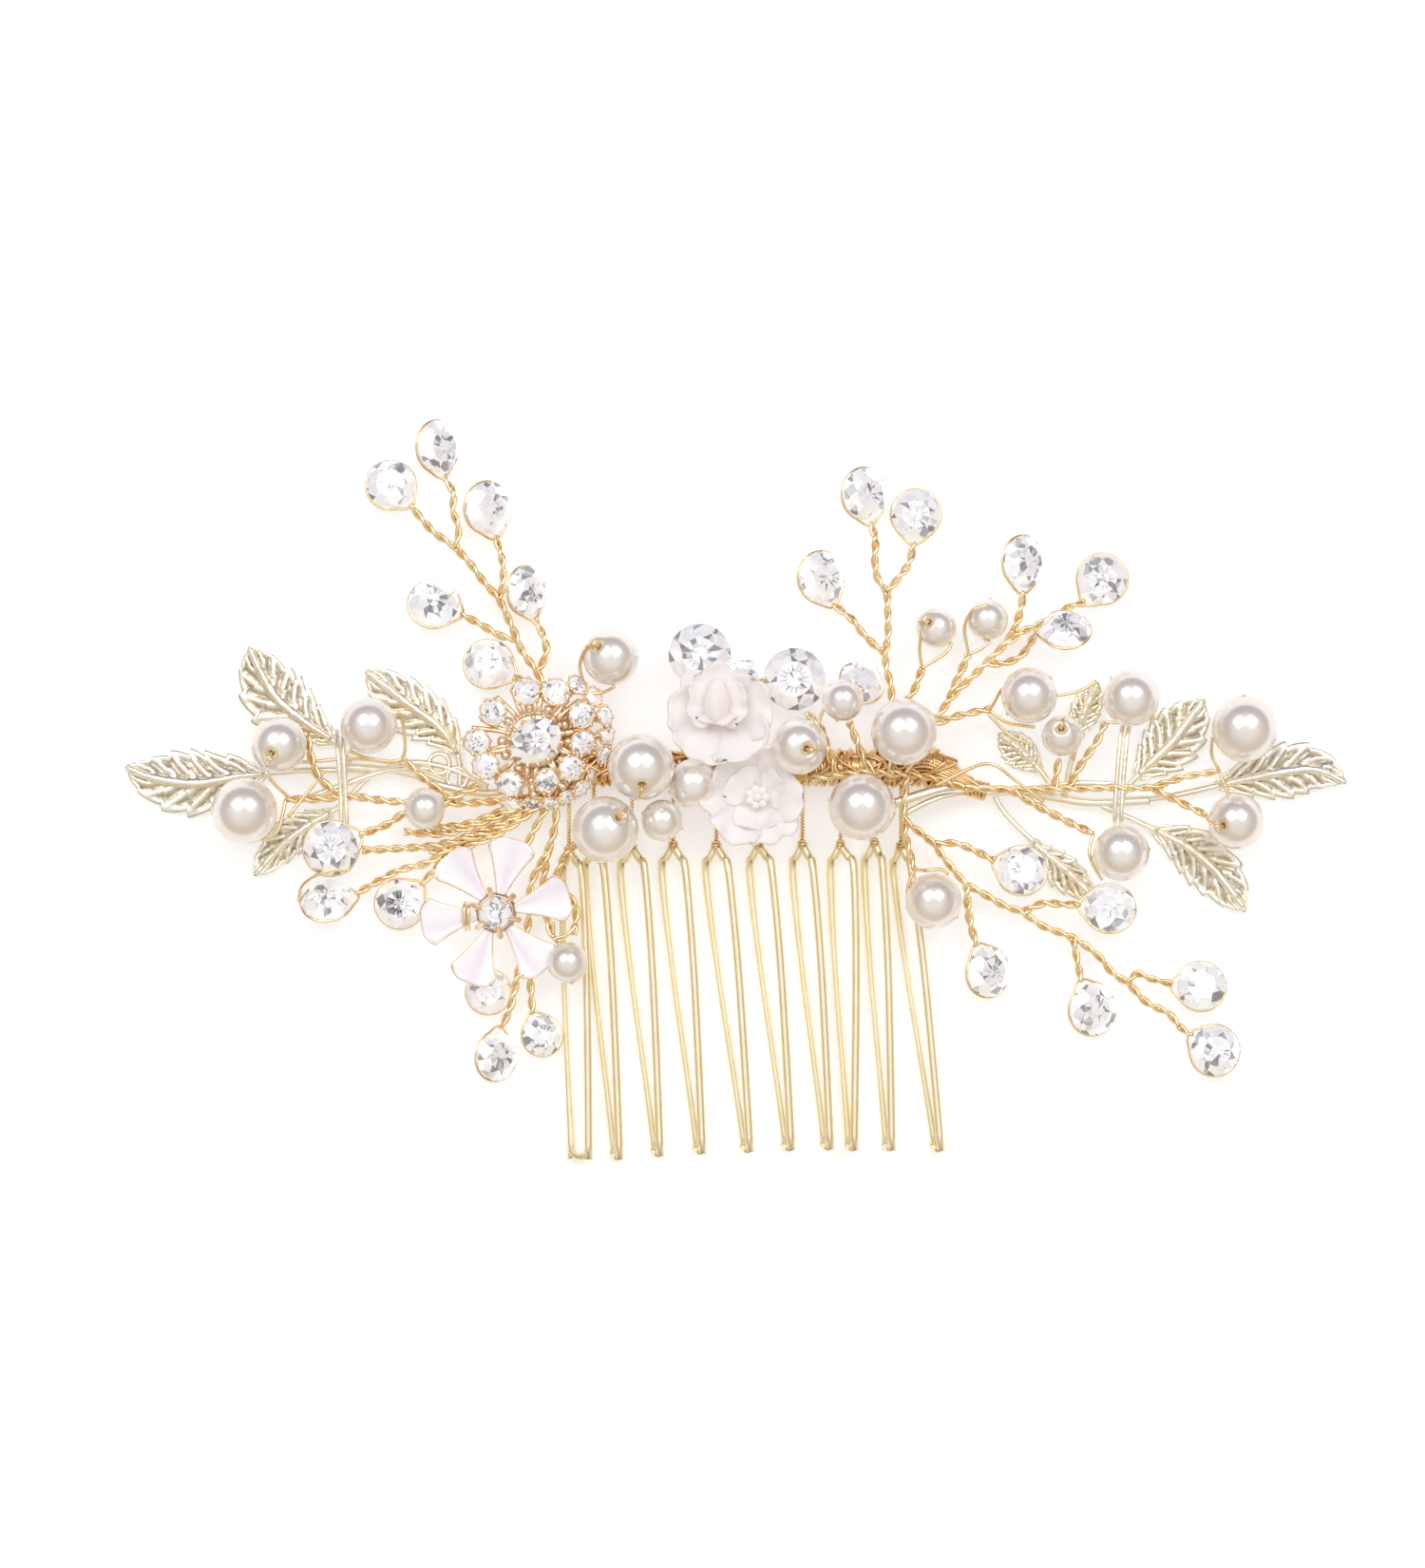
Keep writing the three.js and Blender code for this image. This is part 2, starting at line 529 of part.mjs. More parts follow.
// Sprays: stems of twisted wire. A stem that names a stone starts at that stone's girdle loop.
const LOW = 2.6; // height of a stem out in the sprays
const ON_LEAF = 3.2; // height of a stem over the leaves
const LEFT_STEMS = [
  { stone: "left_top_1", line: [[-38.4, 33.1], [-36.8, 31.2, LOW], [-35, 29.9], [-33.8, 29, LOW]] },
  { stone: "left_top_2", line: [[-34.5, 37.2], [-34.2, 34, LOW], [-33.6, 31.5], [-33.8, 29, LOW]] },
  {
    line: [
      [-33.8, 29, LOW], [-32, 27], [-30.5, 25], [-28.6, 22.8], [-27.5, 20.5], [-26.5, 18.3],
      [-25.8, 16.5], [-24, 14], [-22, 10], [-21.7, 6], [-22, 2.6], [-21.7, 0.2, ON_LEAF],
    ],
  },
  { stone: "left_top_3", line: [[-28.5, 30.2], [-28.2, 26.5, LOW], [-28.2, 24.5], [-28.6, 22.8, LOW]] },
  { stone: "left_top_4", line: [[-23.3, 20.4], [-23.1, 18, LOW], [-23, 16], [-24, 14, LOW]] },
  { stone: "left_top_5", line: [[-33.2, 20.9], [-31, 19.9, LOW], [-28.5, 18.5], [-26.5, 18.3, LOW]] },
  { stone: "left_top_6", line: [[-26.6, 13.4], [-24.5, 12.2, LOW], [-22, 10, LOW]] },
  { line: [[-17.9, 12.8, 5], [-19, 10.4, 3.4], [-21.7, 6, 3]] },
  {
    line: [
      [-54.3, -1.3, ON_LEAF], [-50, -1.2], [-46, -1], [-42, -1.5], [-36, -1.8], [-30, -1.6],
      [-25, -1], [-21.7, 0.2, ON_LEAF],
    ],
  },
  { line: [[-56.2, 2.4, 6], [-55, 0.4, 4.4], [-53.6, -1.3, ON_LEAF]], thin: true },
  { line: [[-55.6, -6.6, 5.6], [-54, -3.6, 4.2], [-52.6, -1.2, ON_LEAF]], thin: true },
  { line: [[-51.6, 6.2, 5.2], [-51, 3], [-50, 1], [-47.5, -1, ON_LEAF]] },
  { line: [[-40.5, 7.2, 5.2], [-40, 3.5], [-38, 1.5], [-36, 0], [-33, -1.7, ON_LEAF]] },
  { line: [[-47.4, 6.2, ON_LEAF], [-47.4, 1], [-47.4, -4.3, ON_LEAF]] },
  { stone: "left_low_1", line: [[-45.6, -5.6], [-42, -4.3, 3.6], [-40, -3, ON_LEAF], [-36, -1.8, ON_LEAF]] },
  {
    stone: "left_low_2",
    line: [
      [-46.4, -11.6], [-41, -10, 2.8], [-37, -8.8], [-33, -6], [-28, -4], [-21.7, 0.2, ON_LEAF],
    ],
  },
  { stone: "left_low_3", line: [[-38.2, -11.8], [-36.4, -9.8, 2.8], [-33, -6, 3]] },
  {
    stone: "left_low_4",
    line: [
      [-27.6, -29], [-27.3, -26.5, 2.4], [-26.4, -22.5], [-25.5, -19], [-25, -15], [-24.6, -11],
      [-22.7, -7.5], [-21.8, -4], [-21.7, 0.2, ON_LEAF],
    ],
  },
  { stone: "left_low_5", line: [[-24.2, -27.2], [-24.6, -24, 2.4], [-25, -21], [-25.5, -19, 2.6]] },
  {
    line: [
      [-22.7, -7.5, 3], [-23.2, -11, 3.2], [-23, -14, 3.3], [-22.8, -16.4, 3.8], [-21.9, -18, 4.8],
    ],
  },
];
const RIGHT_STEMS = [
  { stone: "right_top_1", line: [[12.4, 22.3], [13.9, 20.5, LOW], [15.2, 18.8], [18, 16.3, LOW]] },
  { stone: "right_top_2", line: [[16.9, 31.8], [16.7, 28, LOW], [17, 25.5], [18.2, 23.7, LOW]] },
  { stone: "right_top_3", line: [[21.3, 29.2], [20.9, 27.3, LOW], [19.6, 25.4], [18.2, 23.7, LOW]] },
  {
    line: [
      [18.2, 23.7, LOW], [18.3, 21], [18.3, 18.5], [18, 16.3], [18.1, 14.5], [18.7, 12],
      [18.6, 8.4, 3.2], [18.6, 6, 3.6], [18.6, 4, 4.7], [18.6, 1.7, OVER_SPINE],
    ],
  },
  { line: [[22.4, 14.5, 3.4], [21.5, 12], [20.4, 10.4], [18.6, 8.4, 3.2]] },
  { line: [[22.1, 18.6, 3.6], [22.4, 14.5, 3.4]], thin: true },
  { line: [[25.9, 16.7, 3.6], [22.4, 14.5, 3.4]], thin: true },
  { line: [[28, 16.2, 3.4], [26.8, 13.5], [25.8, 10.8, 3]] },
  { line: [[27.7, 19, 3.6], [28, 16.2, 3.4]], thin: true },
  { line: [[30.4, 17.4, 3.6], [28, 16.2, 3.4]], thin: true },
  { stone: "right_top_4", line: [[35, 23.6], [34.3, 21.5, LOW], [33.5, 19, LOW]] },
  {
    stone: "right_top_5",
    line: [[42.2, 22.4], [40.2, 21.9, 1.6], [36.2, 19.6, 1.8], [34.5, 18.9, LOW], [32, 17, LOW]],
  },
  { stone: "right_top_6", line: [[36.4, 17.6], [34.5, 16.2, 3.4], [30, 15, LOW]] },
  {
    line: [
      [33.5, 19, LOW], [32, 17], [30, 15], [28.5, 13.5], [25.8, 10.8], [23.8, 7.8, 3.2],
      [22.3, 5.6, 3.6], [21.4, 4, 4.7], [20.6, 1.7, OVER_SPINE],
    ],
  },
  { line: [[32.2, 12.6, 5], [31, 10.6, 4], [29, 9.3], [26.5, 8.7], [23.8, 7.8, 3.2]] },
  {
    line: [
      [9, 1.7, OVER_SPINE], [15, 1.7], [20.6, 1.7, OVER_SPINE], [24, 1.2, 4.9], [28, 0.2, 4.4],
      [34, -0.1, 3.5], [40, 0, 3.4], [46, 0.1], [50, 0.2], [54, 1.2], [58, 2, ON_LEAF],
    ],
  },
  { stone: "middle_2", line: [[8.5, 9.2], [10.4, 7, 4], [11.2, 4, 4.8], [12, 1.7, OVER_SPINE]] },
  {
    stone: "middle_1",
    line: [[-2.9, 11.8], [-0.5, 8, 3.4], [4, 5.8, 3.8], [8, 4.2, 4.7], [12, 1.7, OVER_SPINE]],
  },
  { line: [[39, 4, 3.9], [38.6, 2], [38.4, 0, 3.5]] },
  { line: [[44.4, 8.2, 4.4], [43.4, 5.6], [41.6, 3], [40, 0, 3.4]] },
  { line: [[57.9, 4, 5], [57, 2.8, 4.2], [56, 1.6, ON_LEAF]] },
  { line: [[57, -3.2, 4.6], [53, -1.4, 3.6], [50, 0.2, 3.3]] },
  { line: [[43.2, -5.6, 4.4], [40, -4, 3.7], [36.5, -2.2], [33, -0.1, 3.6]] },
  { line: [[46.4, 6.3, ON_LEAF], [46.4, 1], [46.4, -3.9, ON_LEAF]] },
  {
    line: [
      [20.6, 1.7, OVER_SPINE], [20.2, -1], [20.2, -3.6, OVER_SPINE], [22, -5.2, 4.4], [23.8, -6.7, 3.6],
      [24.9, -8.2, 3], [26.5, -10.2, LOW], [27.8, -11.5], [30, -12.8], [32.5, -14.2], [34.5, -14.9],
      [37, -16.6], [40.6, -18], [43.5, -20], [45.5, -22.3], [47.3, -23.5], [49.5, -25.8], [52, -27],
      [53.4, -28.6, 2.4],
    ],
  },
  { stone: "right_low_6", line: [[54.6, -30.6], [53.4, -28.6, 2.4]] },
  { stone: "right_low_1", line: [[31.2, -8.8], [29, -7.6, 3.6], [26.5, -6.7], [23.8, -6.7, 3.6]] },
  { stone: "right_low_2", line: [[41.5, -14.4], [39, -14.2, 3.6], [34.5, -14.9, LOW]] },
  { stone: "right_low_3", line: [[29.2, -18.9], [28.3, -16, LOW], [27.8, -11.5, LOW]] },
  { stone: "right_low_4", line: [[41.8, -23.4], [41.2, -21, LOW], [40.6, -18, LOW]] },
  { stone: "right_low_5", line: [[52.6, -23.4], [50, -22.9, LOW], [47.3, -23.5, LOW]] },
  { line: [[21.5, -9.8, 5.6], [20.8, -7.5, 5.2], [20.3, -5.5], [20.2, -3.6, OVER_SPINE]] },
];

function stem({ stone: name, line, thin }) {
  const radius = thin ? THIN_WIRE : STEM_WIRE;
  if (!name) return wire(route(line), radius, 4);
  const entry = STONES.find(([stoneName]) => stoneName === name);
  const start = girdlePoint(entry, line[0]);
  const points = [start, ...route(line.slice(1))];
  return joined([wire(points, radius, 4), girdleLoop(entry)]);
}

// Assembly, from the pieces that keep their shape to those cut to clear them.
addNode("comb_wire", combFrame(COMB_WIRE), "combGold");
PEARLS.forEach((entry, i) => {
  addNode(`pearl_${String(i + 1).padStart(2, "0")}`, pearl(entry, 0), "pearl");
});
STONES.forEach((entry) => addNode(`stone_${entry[0]}`, stone(entry, 0), "stone"));

const clearComb = combFrame(COMB_WIRE + GAP);
const clearPearls = PEARLS.map((entry) => pearl(entry, GAP));
const clearStones = STONES.map((entry) => stone(entry, GAP));
const clearFirst = [clearComb, ...clearPearls, ...clearStones];

addNode("white_rose", mainBody(cutBy(rose(), clearFirst)), "ceramic");
const clearRose = grown(built.get("white_rose"));
addNode("white_blossom", mainBody(cutBy(blossom(), [...clearFirst, clearRose])), "ceramic");
addNode("cluster_flower", mainBody(cutBy(clusterFlower(), clearFirst)), "roseGold");
addNode("cluster_stone", setStone(CLUSTER_STONE, CLUSTER, 1), "stone");
addNode("enamel_flower", mainBody(cutBy(enamelFlower(), clearFirst)), "enamel");
addNode("enamel_stone", setStone(ENAMEL_STONE, ENAMEL, ENAMEL.thick), "stone");

const flowers = ["white_rose", "white_blossom", "cluster_flower", "enamel_flower"];
const clearFlowers = flowers.map((name) => grown(built.get(name)));
const clearSpine = joined(SLEEVES.map((entry) => sleeve(entry, GAP)));
const windings = joined(SLEEVES.map((entry) => sleeve(entry, 0)));
addNode("binding_wire", mainBody(cutBy(windings, clearFirst)), "bindingGold");

const clearLeafWork = [...clearFirst, ...clearFlowers, clearSpine];
const leftBranch = leafBranch(LEFT_LEAVES, LEFT_STALK, LOOP_OPENINGS);
const rightBranch = leafBranch(RIGHT_LEAVES, RIGHT_STALK, []);
addNode("leaf_branch_left", mainBody(cutBy(leftBranch, clearLeafWork)), "leafGold");
addNode("leaf_branch_right", mainBody(cutBy(rightBranch, clearLeafWork)), "leafGold");

const branches = ["leaf_branch_left", "leaf_branch_right"];
const clearBranches = branches.map((name) => grown(built.get(name)));
const clearStems = [...clearLeafWork, ...clearBranches];
const leftSpray = joined(LEFT_STEMS.map(stem));
const rightSpray = joined(RIGHT_STEMS.map(stem));
addNode("spray_wire_left", mainBody(cutBy(leftSpray, clearStems)), "bindingGold");
addNode("spray_wire_right", mainBody(cutBy(rightSpray, clearStems)), "bindingGold");

const bounds = new THREE.Box3().setFromObject(group);
const centre = bounds.getCenter(new THREE.Vector3());
group.position.set(-centre.x, -centre.y, -bounds.min.z);

export default group;
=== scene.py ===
"""Looks of a decorative side comb for hair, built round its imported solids.

Lengths in the tables are millimetres from the comb's own middle; everything placed in
Blender is metres in the frame of the solids.
"""

import math
import random

import bpy
from mathutils import Matrix, Vector, noise


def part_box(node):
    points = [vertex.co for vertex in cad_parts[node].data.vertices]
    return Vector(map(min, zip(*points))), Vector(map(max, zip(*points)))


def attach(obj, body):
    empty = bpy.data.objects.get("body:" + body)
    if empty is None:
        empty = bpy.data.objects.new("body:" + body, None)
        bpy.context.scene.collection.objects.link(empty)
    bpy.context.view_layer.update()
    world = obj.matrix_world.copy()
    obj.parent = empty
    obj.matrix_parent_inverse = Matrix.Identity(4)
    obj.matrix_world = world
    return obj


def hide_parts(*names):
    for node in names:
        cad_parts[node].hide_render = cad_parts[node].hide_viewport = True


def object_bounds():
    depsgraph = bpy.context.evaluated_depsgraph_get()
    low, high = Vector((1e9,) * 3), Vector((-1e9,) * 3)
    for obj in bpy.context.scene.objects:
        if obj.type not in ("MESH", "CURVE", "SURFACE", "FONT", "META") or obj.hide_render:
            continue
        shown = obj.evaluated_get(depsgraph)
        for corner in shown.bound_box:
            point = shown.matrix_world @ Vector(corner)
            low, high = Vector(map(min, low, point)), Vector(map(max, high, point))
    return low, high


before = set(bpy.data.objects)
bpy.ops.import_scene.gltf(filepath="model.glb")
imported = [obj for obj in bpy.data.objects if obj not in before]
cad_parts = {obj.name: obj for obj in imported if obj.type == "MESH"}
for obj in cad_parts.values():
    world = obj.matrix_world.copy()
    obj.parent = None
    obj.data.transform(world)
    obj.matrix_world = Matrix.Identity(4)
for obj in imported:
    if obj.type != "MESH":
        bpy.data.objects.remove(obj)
cad_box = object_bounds()

MM = 0.001
TURN = 2 * math.pi
TABLE, CROWN, PAVILION, GIRDLE = 0.56, 0.34, 0.72, 0.05  # a stone's cut, over its radius
THIN = 0.26  # radius of one thin wire
PITCH = 3.9  # length of one full twist of a pair of wires
COMB_RADIUS = 0.5
SHEET = 0.42  # thickness of a stamped leaf
LEAF_BACK = 0.15  # height of a leaf's rim over the underside
RNG = random.Random(11)


def middle(node):
    low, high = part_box(node)
    return (low + high) / 2 / MM


def up(height):
    return Vector((0, 0, height))


def heading(degrees):
    angle = math.radians(degrees)
    return Vector((math.cos(angle), math.sin(angle), 0))


# The tables' origin, found from one pearl whose place in the tables is known.
SHIFT = middle("pearl_12") - Vector((20.1, 6.8, middle("pearl_12").z))


def table_box(node):
    """A solid's box, in the millimetres of the tables."""
    return [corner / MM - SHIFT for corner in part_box(node)]


# --- Meshes -----------------------------------------------------------------------------


class Shape:
    """Points and faces in millimetres, with a tone per face, which a stone's finish turns into painted
    reflection, and a depth per point, which the finishes turn into painted shade, sheen and reflection.
    """

    def __init__(self):
        self.points = []
        self.faces = []
        self.tones = []
        self.depths = []

    def add(self, points, faces, tone=0.5, depths=None):
        start = len(self.points)
        self.points.extend(points)
        self.faces.extend([tuple(start + i for i in face) for face in faces])
        tones = tone if isinstance(tone, list) else [tone] * len(faces)
        self.tones.extend(tones)
        self.depths.extend(depths or [0.0] * len(points))

    def add_shape(self, other, matrix=None):
        placed = [matrix @ p for p in other.points] if matrix else other.points
        self.add(placed, other.faces, other.tones, other.depths)


def make_piece(name, shape, material, nodes=(), smooth=True):
    """A Blender object from a shape, riding on the comb in place of the named solids."""
    mesh = bpy.data.meshes.new(name)
    mesh.from_pydata([(p + SHIFT) * MM for p in shape.points], [], shape.faces)
    tone = mesh.attributes.new("tone", "FLOAT", "FACE")
    tone.data.foreach_set("value", shape.tones)
    depth = mesh.attributes.new("depth", "FLOAT", "POINT")
    depth.data.foreach_set("value", shape.depths)
    mesh.polygons.foreach_set("use_smooth", [smooth] * len(mesh.polygons))
    mesh.materials.append(material)
    mesh.update()
    piece = bpy.data.objects.new(name, mesh)
    bpy.context.scene.collection.objects.link(piece)
    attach(piece, "root")
    if nodes:
        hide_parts(*nodes)
    return piece


def spline(points, step, closed=False):
    """A Catmull-Rom curve through the points, sampled about every step."""
    count = len(points)
    spans = count if closed else count - 1
    result = []
    for i in range(spans):
        if closed:
            a, b, c, d = (points[(i + k) % count] for k in (-1, 0, 1, 2))
        else:
            a, b = points[max(i - 1, 0)], points[i]
            c, d = points[i + 1], points[min(i + 2, count - 1)]
        pieces = max(1, round((c - b).length / step))
        for k in range(pieces):
            t = k / pieces
            linear = (c - a) * t + (2 * a - 5 * b + 4 * c - d) * t**2
            result.append(b + 0.5 * (linear + (3 * b - a - 3 * c + d) * t**3))
    if not closed:
        result.append(points[-1].copy())
    return result


def frames(points, closed=False):
    """A direction, a normal and a binormal at each point, turning as little as they can."""
    count = len(points)
    result = []
    normal = None
    for i in range(count):
        before = points[(i - 1) % count] if closed else points[max(i - 1, 0)]
        after = points[(i + 1) % count] if closed else points[min(i + 1, count - 1)]
        direction = (after - before).normalized()
        if normal is None:
            normal = direction.orthogonal()
        normal = (normal - direction * normal.dot(direction)).normalized()
        result.append((direction, normal, direction.cross(normal)))
    return result


def tube(shape, points, radius, sides=7, closed=False, tone=0.5):
    """A round wire along the points. Radius is a number, or a function of 0 to 1."""
    count = len(points)
    ring_points = []
    for i, (_, normal, binormal) in enumerate(frames(points, closed)):
        size = radius(i / (count - 1)) if callable(radius) else radius
        for k in range(sides):
            angle = TURN * k / sides
            ring_points.append(
                points[i] + (normal * math.cos(angle) + binormal * math.sin(angle)) * size
            )
    faces = []
    for i in range(count if closed else count - 1):
        here, there = i * sides, ((i + 1) % count) * sides
        for k in range(sides):
            n = (k + 1) % sides
            faces.append((here + k, here + n, there + n, there + k))
    if not closed:
        faces.append(tuple(range(sides - 1, -1, -1)))
        faces.append(tuple(range((count - 1) * sides, count * sides)))
    shape.add(ring_points, faces, tone)


def twisted_pair(shape, points, strand=THIN, pitch=PITCH):
    """Two thin wires wound round each other along the points."""
    route = spline(points, 0.34)
    phase = RNG.uniform(0, TURN)
    looseness = RNG.uniform(0.95, 1.15)
    sides = frames(route)
    for turn in (0, math.pi):
        strand_points = []
        run = 0.0
        for i, point in enumerate(route):
            if i:
                run += (point - route[i - 1]).length
            angle = phase + turn + TURN * run / pitch
            _, normal, binormal = sides[i]
            offset = (normal * math.cos(angle) + binormal * math.sin(angle)) * strand
            strand_points.append(point + offset * looseness)
        tube(shape, strand_points, strand, 6)


def lathe(shape, profile, segments, matrix, tone=0.5, depths=None):
    """A profile of (radius, height) turned round the matrix's Z axis. It may touch the axis."""
    rings = []
    points = []
    point_depths = []
    for j, (radius, height) in enumerate(profile):
        count = 1 if radius == 0 else segments
        rings.append((len(points), count))
        for k in range(count):
            angle = TURN * k / segments
            local = Vector((radius * math.cos(angle), radius * math.sin(angle), height))
            points.append(matrix @ local)
            point_depths.append(depths[j] if depths else 0.0)
    faces = []
    for (low, low_count), (high, high_count) in zip(rings, rings[1:]):
        for k in range(segments):
            n = (k + 1) % segments
            corners = [low + k % low_count, low + n % low_count]
            corners += [high + n % high_count, high + k % high_count]
            face = tuple(dict.fromkeys(corners))
            if len(face) > 2:
                faces.append(face)
    shape.add(points, faces, tone, point_depths)


def sheet(shape, place, across, along, thickness, depth=None):
    """A thin curved sheet. place(u, v) gives the middle surface for u from -1 to 1 and v from
    0 to 1; depth(u, v) is stored on the upper side's points."""

    def sample(function, i, j):
        return function(-1 + 2 * j / across, i / along)

    grid = [[sample(place, i, j) for j in range(across + 1)] for i in range(along + 1)]
    points, depths = [], []
    for side in (0.5, -0.5):
        for i in range(along + 1):
            for j in range(across + 1):
                du = grid[i][min(j + 1, across)] - grid[i][max(j - 1, 0)]
                dv = grid[min(i + 1, along)][j] - grid[max(i - 1, 0)][j]
                normal = dv.cross(du)
                if normal.length < 1e-9:
                    normal = up(1)
                normal = normal.normalized()
                if normal.z < 0:
                    normal = -normal
                points.append(grid[i][j] + normal * side * thickness)
                known = depth and side > 0
                depths.append(sample(depth, i, j) if known else 0.0)
    row = across + 1
    layer = row * (along + 1)
    faces = []
    for i in range(along):
        for j in range(across):
            a = i * row + j
            upper = (a, a + 1, a + row + 1, a + row)
            faces += [upper, tuple(layer + k for k in reversed(upper))]
    rim = list(range(row))
    rim += [i * row + across for i in range(1, along + 1)]
    rim += [along * row + j for j in range(across - 1, -1, -1)]
    rim += [i * row for i in range(along - 1, 0, -1)]
    for a, b in zip(rim, rim[1:] + rim[:1]):
        faces.append((b, a, layer + a, layer + b))
    shape.add(points, faces, 0.5, depths)


def facing(centre, normal):
    """A matrix that puts local Z along normal at centre, with local X near the comb's X."""
    z_axis = Vector(normal).normalized()
    x_axis = Vector((0, 1, 0)).cross(z_axis).normalized()
    turn = Matrix((x_axis, z_axis.cross(x_axis), z_axis)).transposed().to_4x4()
    return Matrix.Translation(centre) @ turn


# --- Materials --------------------------------------------------------------------------


def feed(links, socket, value):
    """Links another socket to this one, or sets it to a number or a colour."""
    if isinstance(value, bpy.types.NodeSocket):
        links.new(value, socket)
    else:
        socket.default_value = (*value, 1) if isinstance(value, tuple) else value


def mix_colours(tree, factor, first, second, blend="MIX"):
    mixed = tree.nodes.new("ShaderNodeMix")
    mixed.data_type = "RGBA"
    mixed.blend_type = blend
    colours = [socket for socket in mixed.inputs if socket.type == "RGBA"]
    for socket, value in zip((mixed.inputs[0], *colours), (factor, first, second)):
        feed(tree.links, socket, value)
    return next(socket for socket in mixed.outputs if socket.type == "RGBA")


class Finish:
    """A node material round one Principled shader."""

    def __init__(self, name, **values):
        self.material = bpy.data.materials.new(name)
        self.material.use_nodes = True
        self.tree = self.material.node_tree
        self.shader = self.tree.nodes["Principled BSDF"]
        for key, value in values.items():
            self.shader.inputs[key.replace("_", " ")].default_value = value

    def node(self, kind, **inputs):
        made = self.tree.nodes.new(kind)
        for key, value in inputs.items():
            made.inputs[key.replace("_", " ")].default_value = value
        return made

    def link(self, source, target):
        self.tree.links.new(source, target)

    def object_noise(self, scale, detail=3.0, roughness=0.55):
        place = self.node("ShaderNodeTexCoord")
        texture = self.node("ShaderNodeTexNoise", Scale=scale, Detail=detail, Roughness=roughness)
        self.link(place.outputs["Object"], texture.inputs["Vector"])
        return texture.outputs["Fac"]

    def ramp(self, source, stops):
        ramp = self.node("ShaderNodeValToRGB")
        elements = ramp.color_ramp.elements
        while len(elements) < len(stops):
            elements.new(0.5)
        for element, (position, colour) in zip(elements, stops):
            element.position = position
            element.color = (*colour, 1)
        self.link(source, ramp.inputs["Fac"])
        return ramp.outputs["Color"]

    def bump(self, source, strength, distance):
        bump = self.node("ShaderNodeBump", Strength=strength, Distance=distance)
        self.link(source, bump.inputs["Height"])
        self.link(bump.outputs["Normal"], self.shader.inputs["Normal"])

    def attribute(self, name):
        found = self.node("ShaderNodeAttribute")
        found.attribute_name = name
        return found.outputs["Fac"]

    def calculate(self, operation, *values):
        made = self.node("ShaderNodeMath")
        made.operation = operation
        for socket, value in zip(made.inputs, values):
            feed(self.tree.links, socket, value)
        return made.outputs["Value"]

    def vary_roughness(self, source, least, most):
        varied = self.node("ShaderNodeMapRange", To_Min=least, To_Max=most)
        self.link(source, varied.inputs["Value"])
        self.link(varied.outputs["Result"], self.shader.inputs["Roughness"])

    def paint(self, colour, glow=0.0):
        """The surface's colour, and how much light of that colour it gives off."""
        self.link(colour, self.shader.inputs["Base Color"])
        if glow:
            self.link(colour, self.shader.inputs["Emission Color"])
            self.shader.inputs["Emission Strength"].default_value = glow


def gold_finish(name, bright, deep, roughness):
    """Plated wire: its colour drifts between two golds, and its polish is a little uneven."""
    finish = Finish(name, Metallic=1.0, Roughness=roughness)
    finish.paint(finish.ramp(finish.object_noise(420.0), [(0.38, deep), (0.62, bright)]))
    finish.vary_roughness(finish.object_noise(500.0), roughness - 0.05, roughness + 0.06)
    finish.bump(finish.object_noise(1600.0, 2.0), 0.06, 0.0001)
    return finish.material


def leaf_finish():
    """Pale gold plate, with painted grey-brown shade in its pressed hollows and along its rim, which leaves
    its ribs bright.
    """
    finish = Finish("leaf_plate", Metallic=1.0)
    # Painted shade: the hollows and rim marked by depth are darkened towards grey-brown, broken up by a
    # speckle.
    shade_speckle_stops = [(0.36, (0.25,) * 3), (0.56, (1.0,) * 3)]
    speckle = finish.ramp(finish.object_noise(900.0, 4.0, 0.7), shade_speckle_stops)
    painted_hollow_shade = finish.calculate("MULTIPLY", finish.attribute("depth"), speckle)
    golds = [(0.35, (1.0, 0.925, 0.73)), (0.65, (1.0, 0.965, 0.87))]
    plate = finish.ramp(finish.object_noise(260.0), golds)
    finish.paint(mix_colours(finish.tree, painted_hollow_shade, plate, (0.54, 0.45, 0.33)))
    finish.vary_roughness(painted_hollow_shade, 0.3, 0.5)
    finish.bump(finish.object_noise(1400.0, 4.0), 0.35, 0.0002)
    return finish.material


def pearl_finish():
    """Ivory nacre under a clear coat, with faint clouding, and gold wire's colour painted in its bore and
    dished mouths as a reflection of the wire.
    """
    finish = Finish("nacre", Roughness=0.24, Metallic=0.5, Coat_Weight=0.6, Coat_Roughness=0.08)
    ivories = [(0.35, (0.9, 0.845, 0.79)), (0.65, (0.96, 0.915, 0.865))]
    clouds = finish.ramp(finish.object_noise(330.0, 2.0), ivories)
    # Painted reflection: where depth marks the bore and its mouths, the ivory is mixed towards the wire's
    # gold.
    finish.paint(mix_colours(finish.tree, finish.attribute("depth"), clouds, (0.96, 0.83, 0.55)))
    finish.bump(finish.object_noise(1900.0, 2.0), 0.04, 0.0001)
    return finish.material


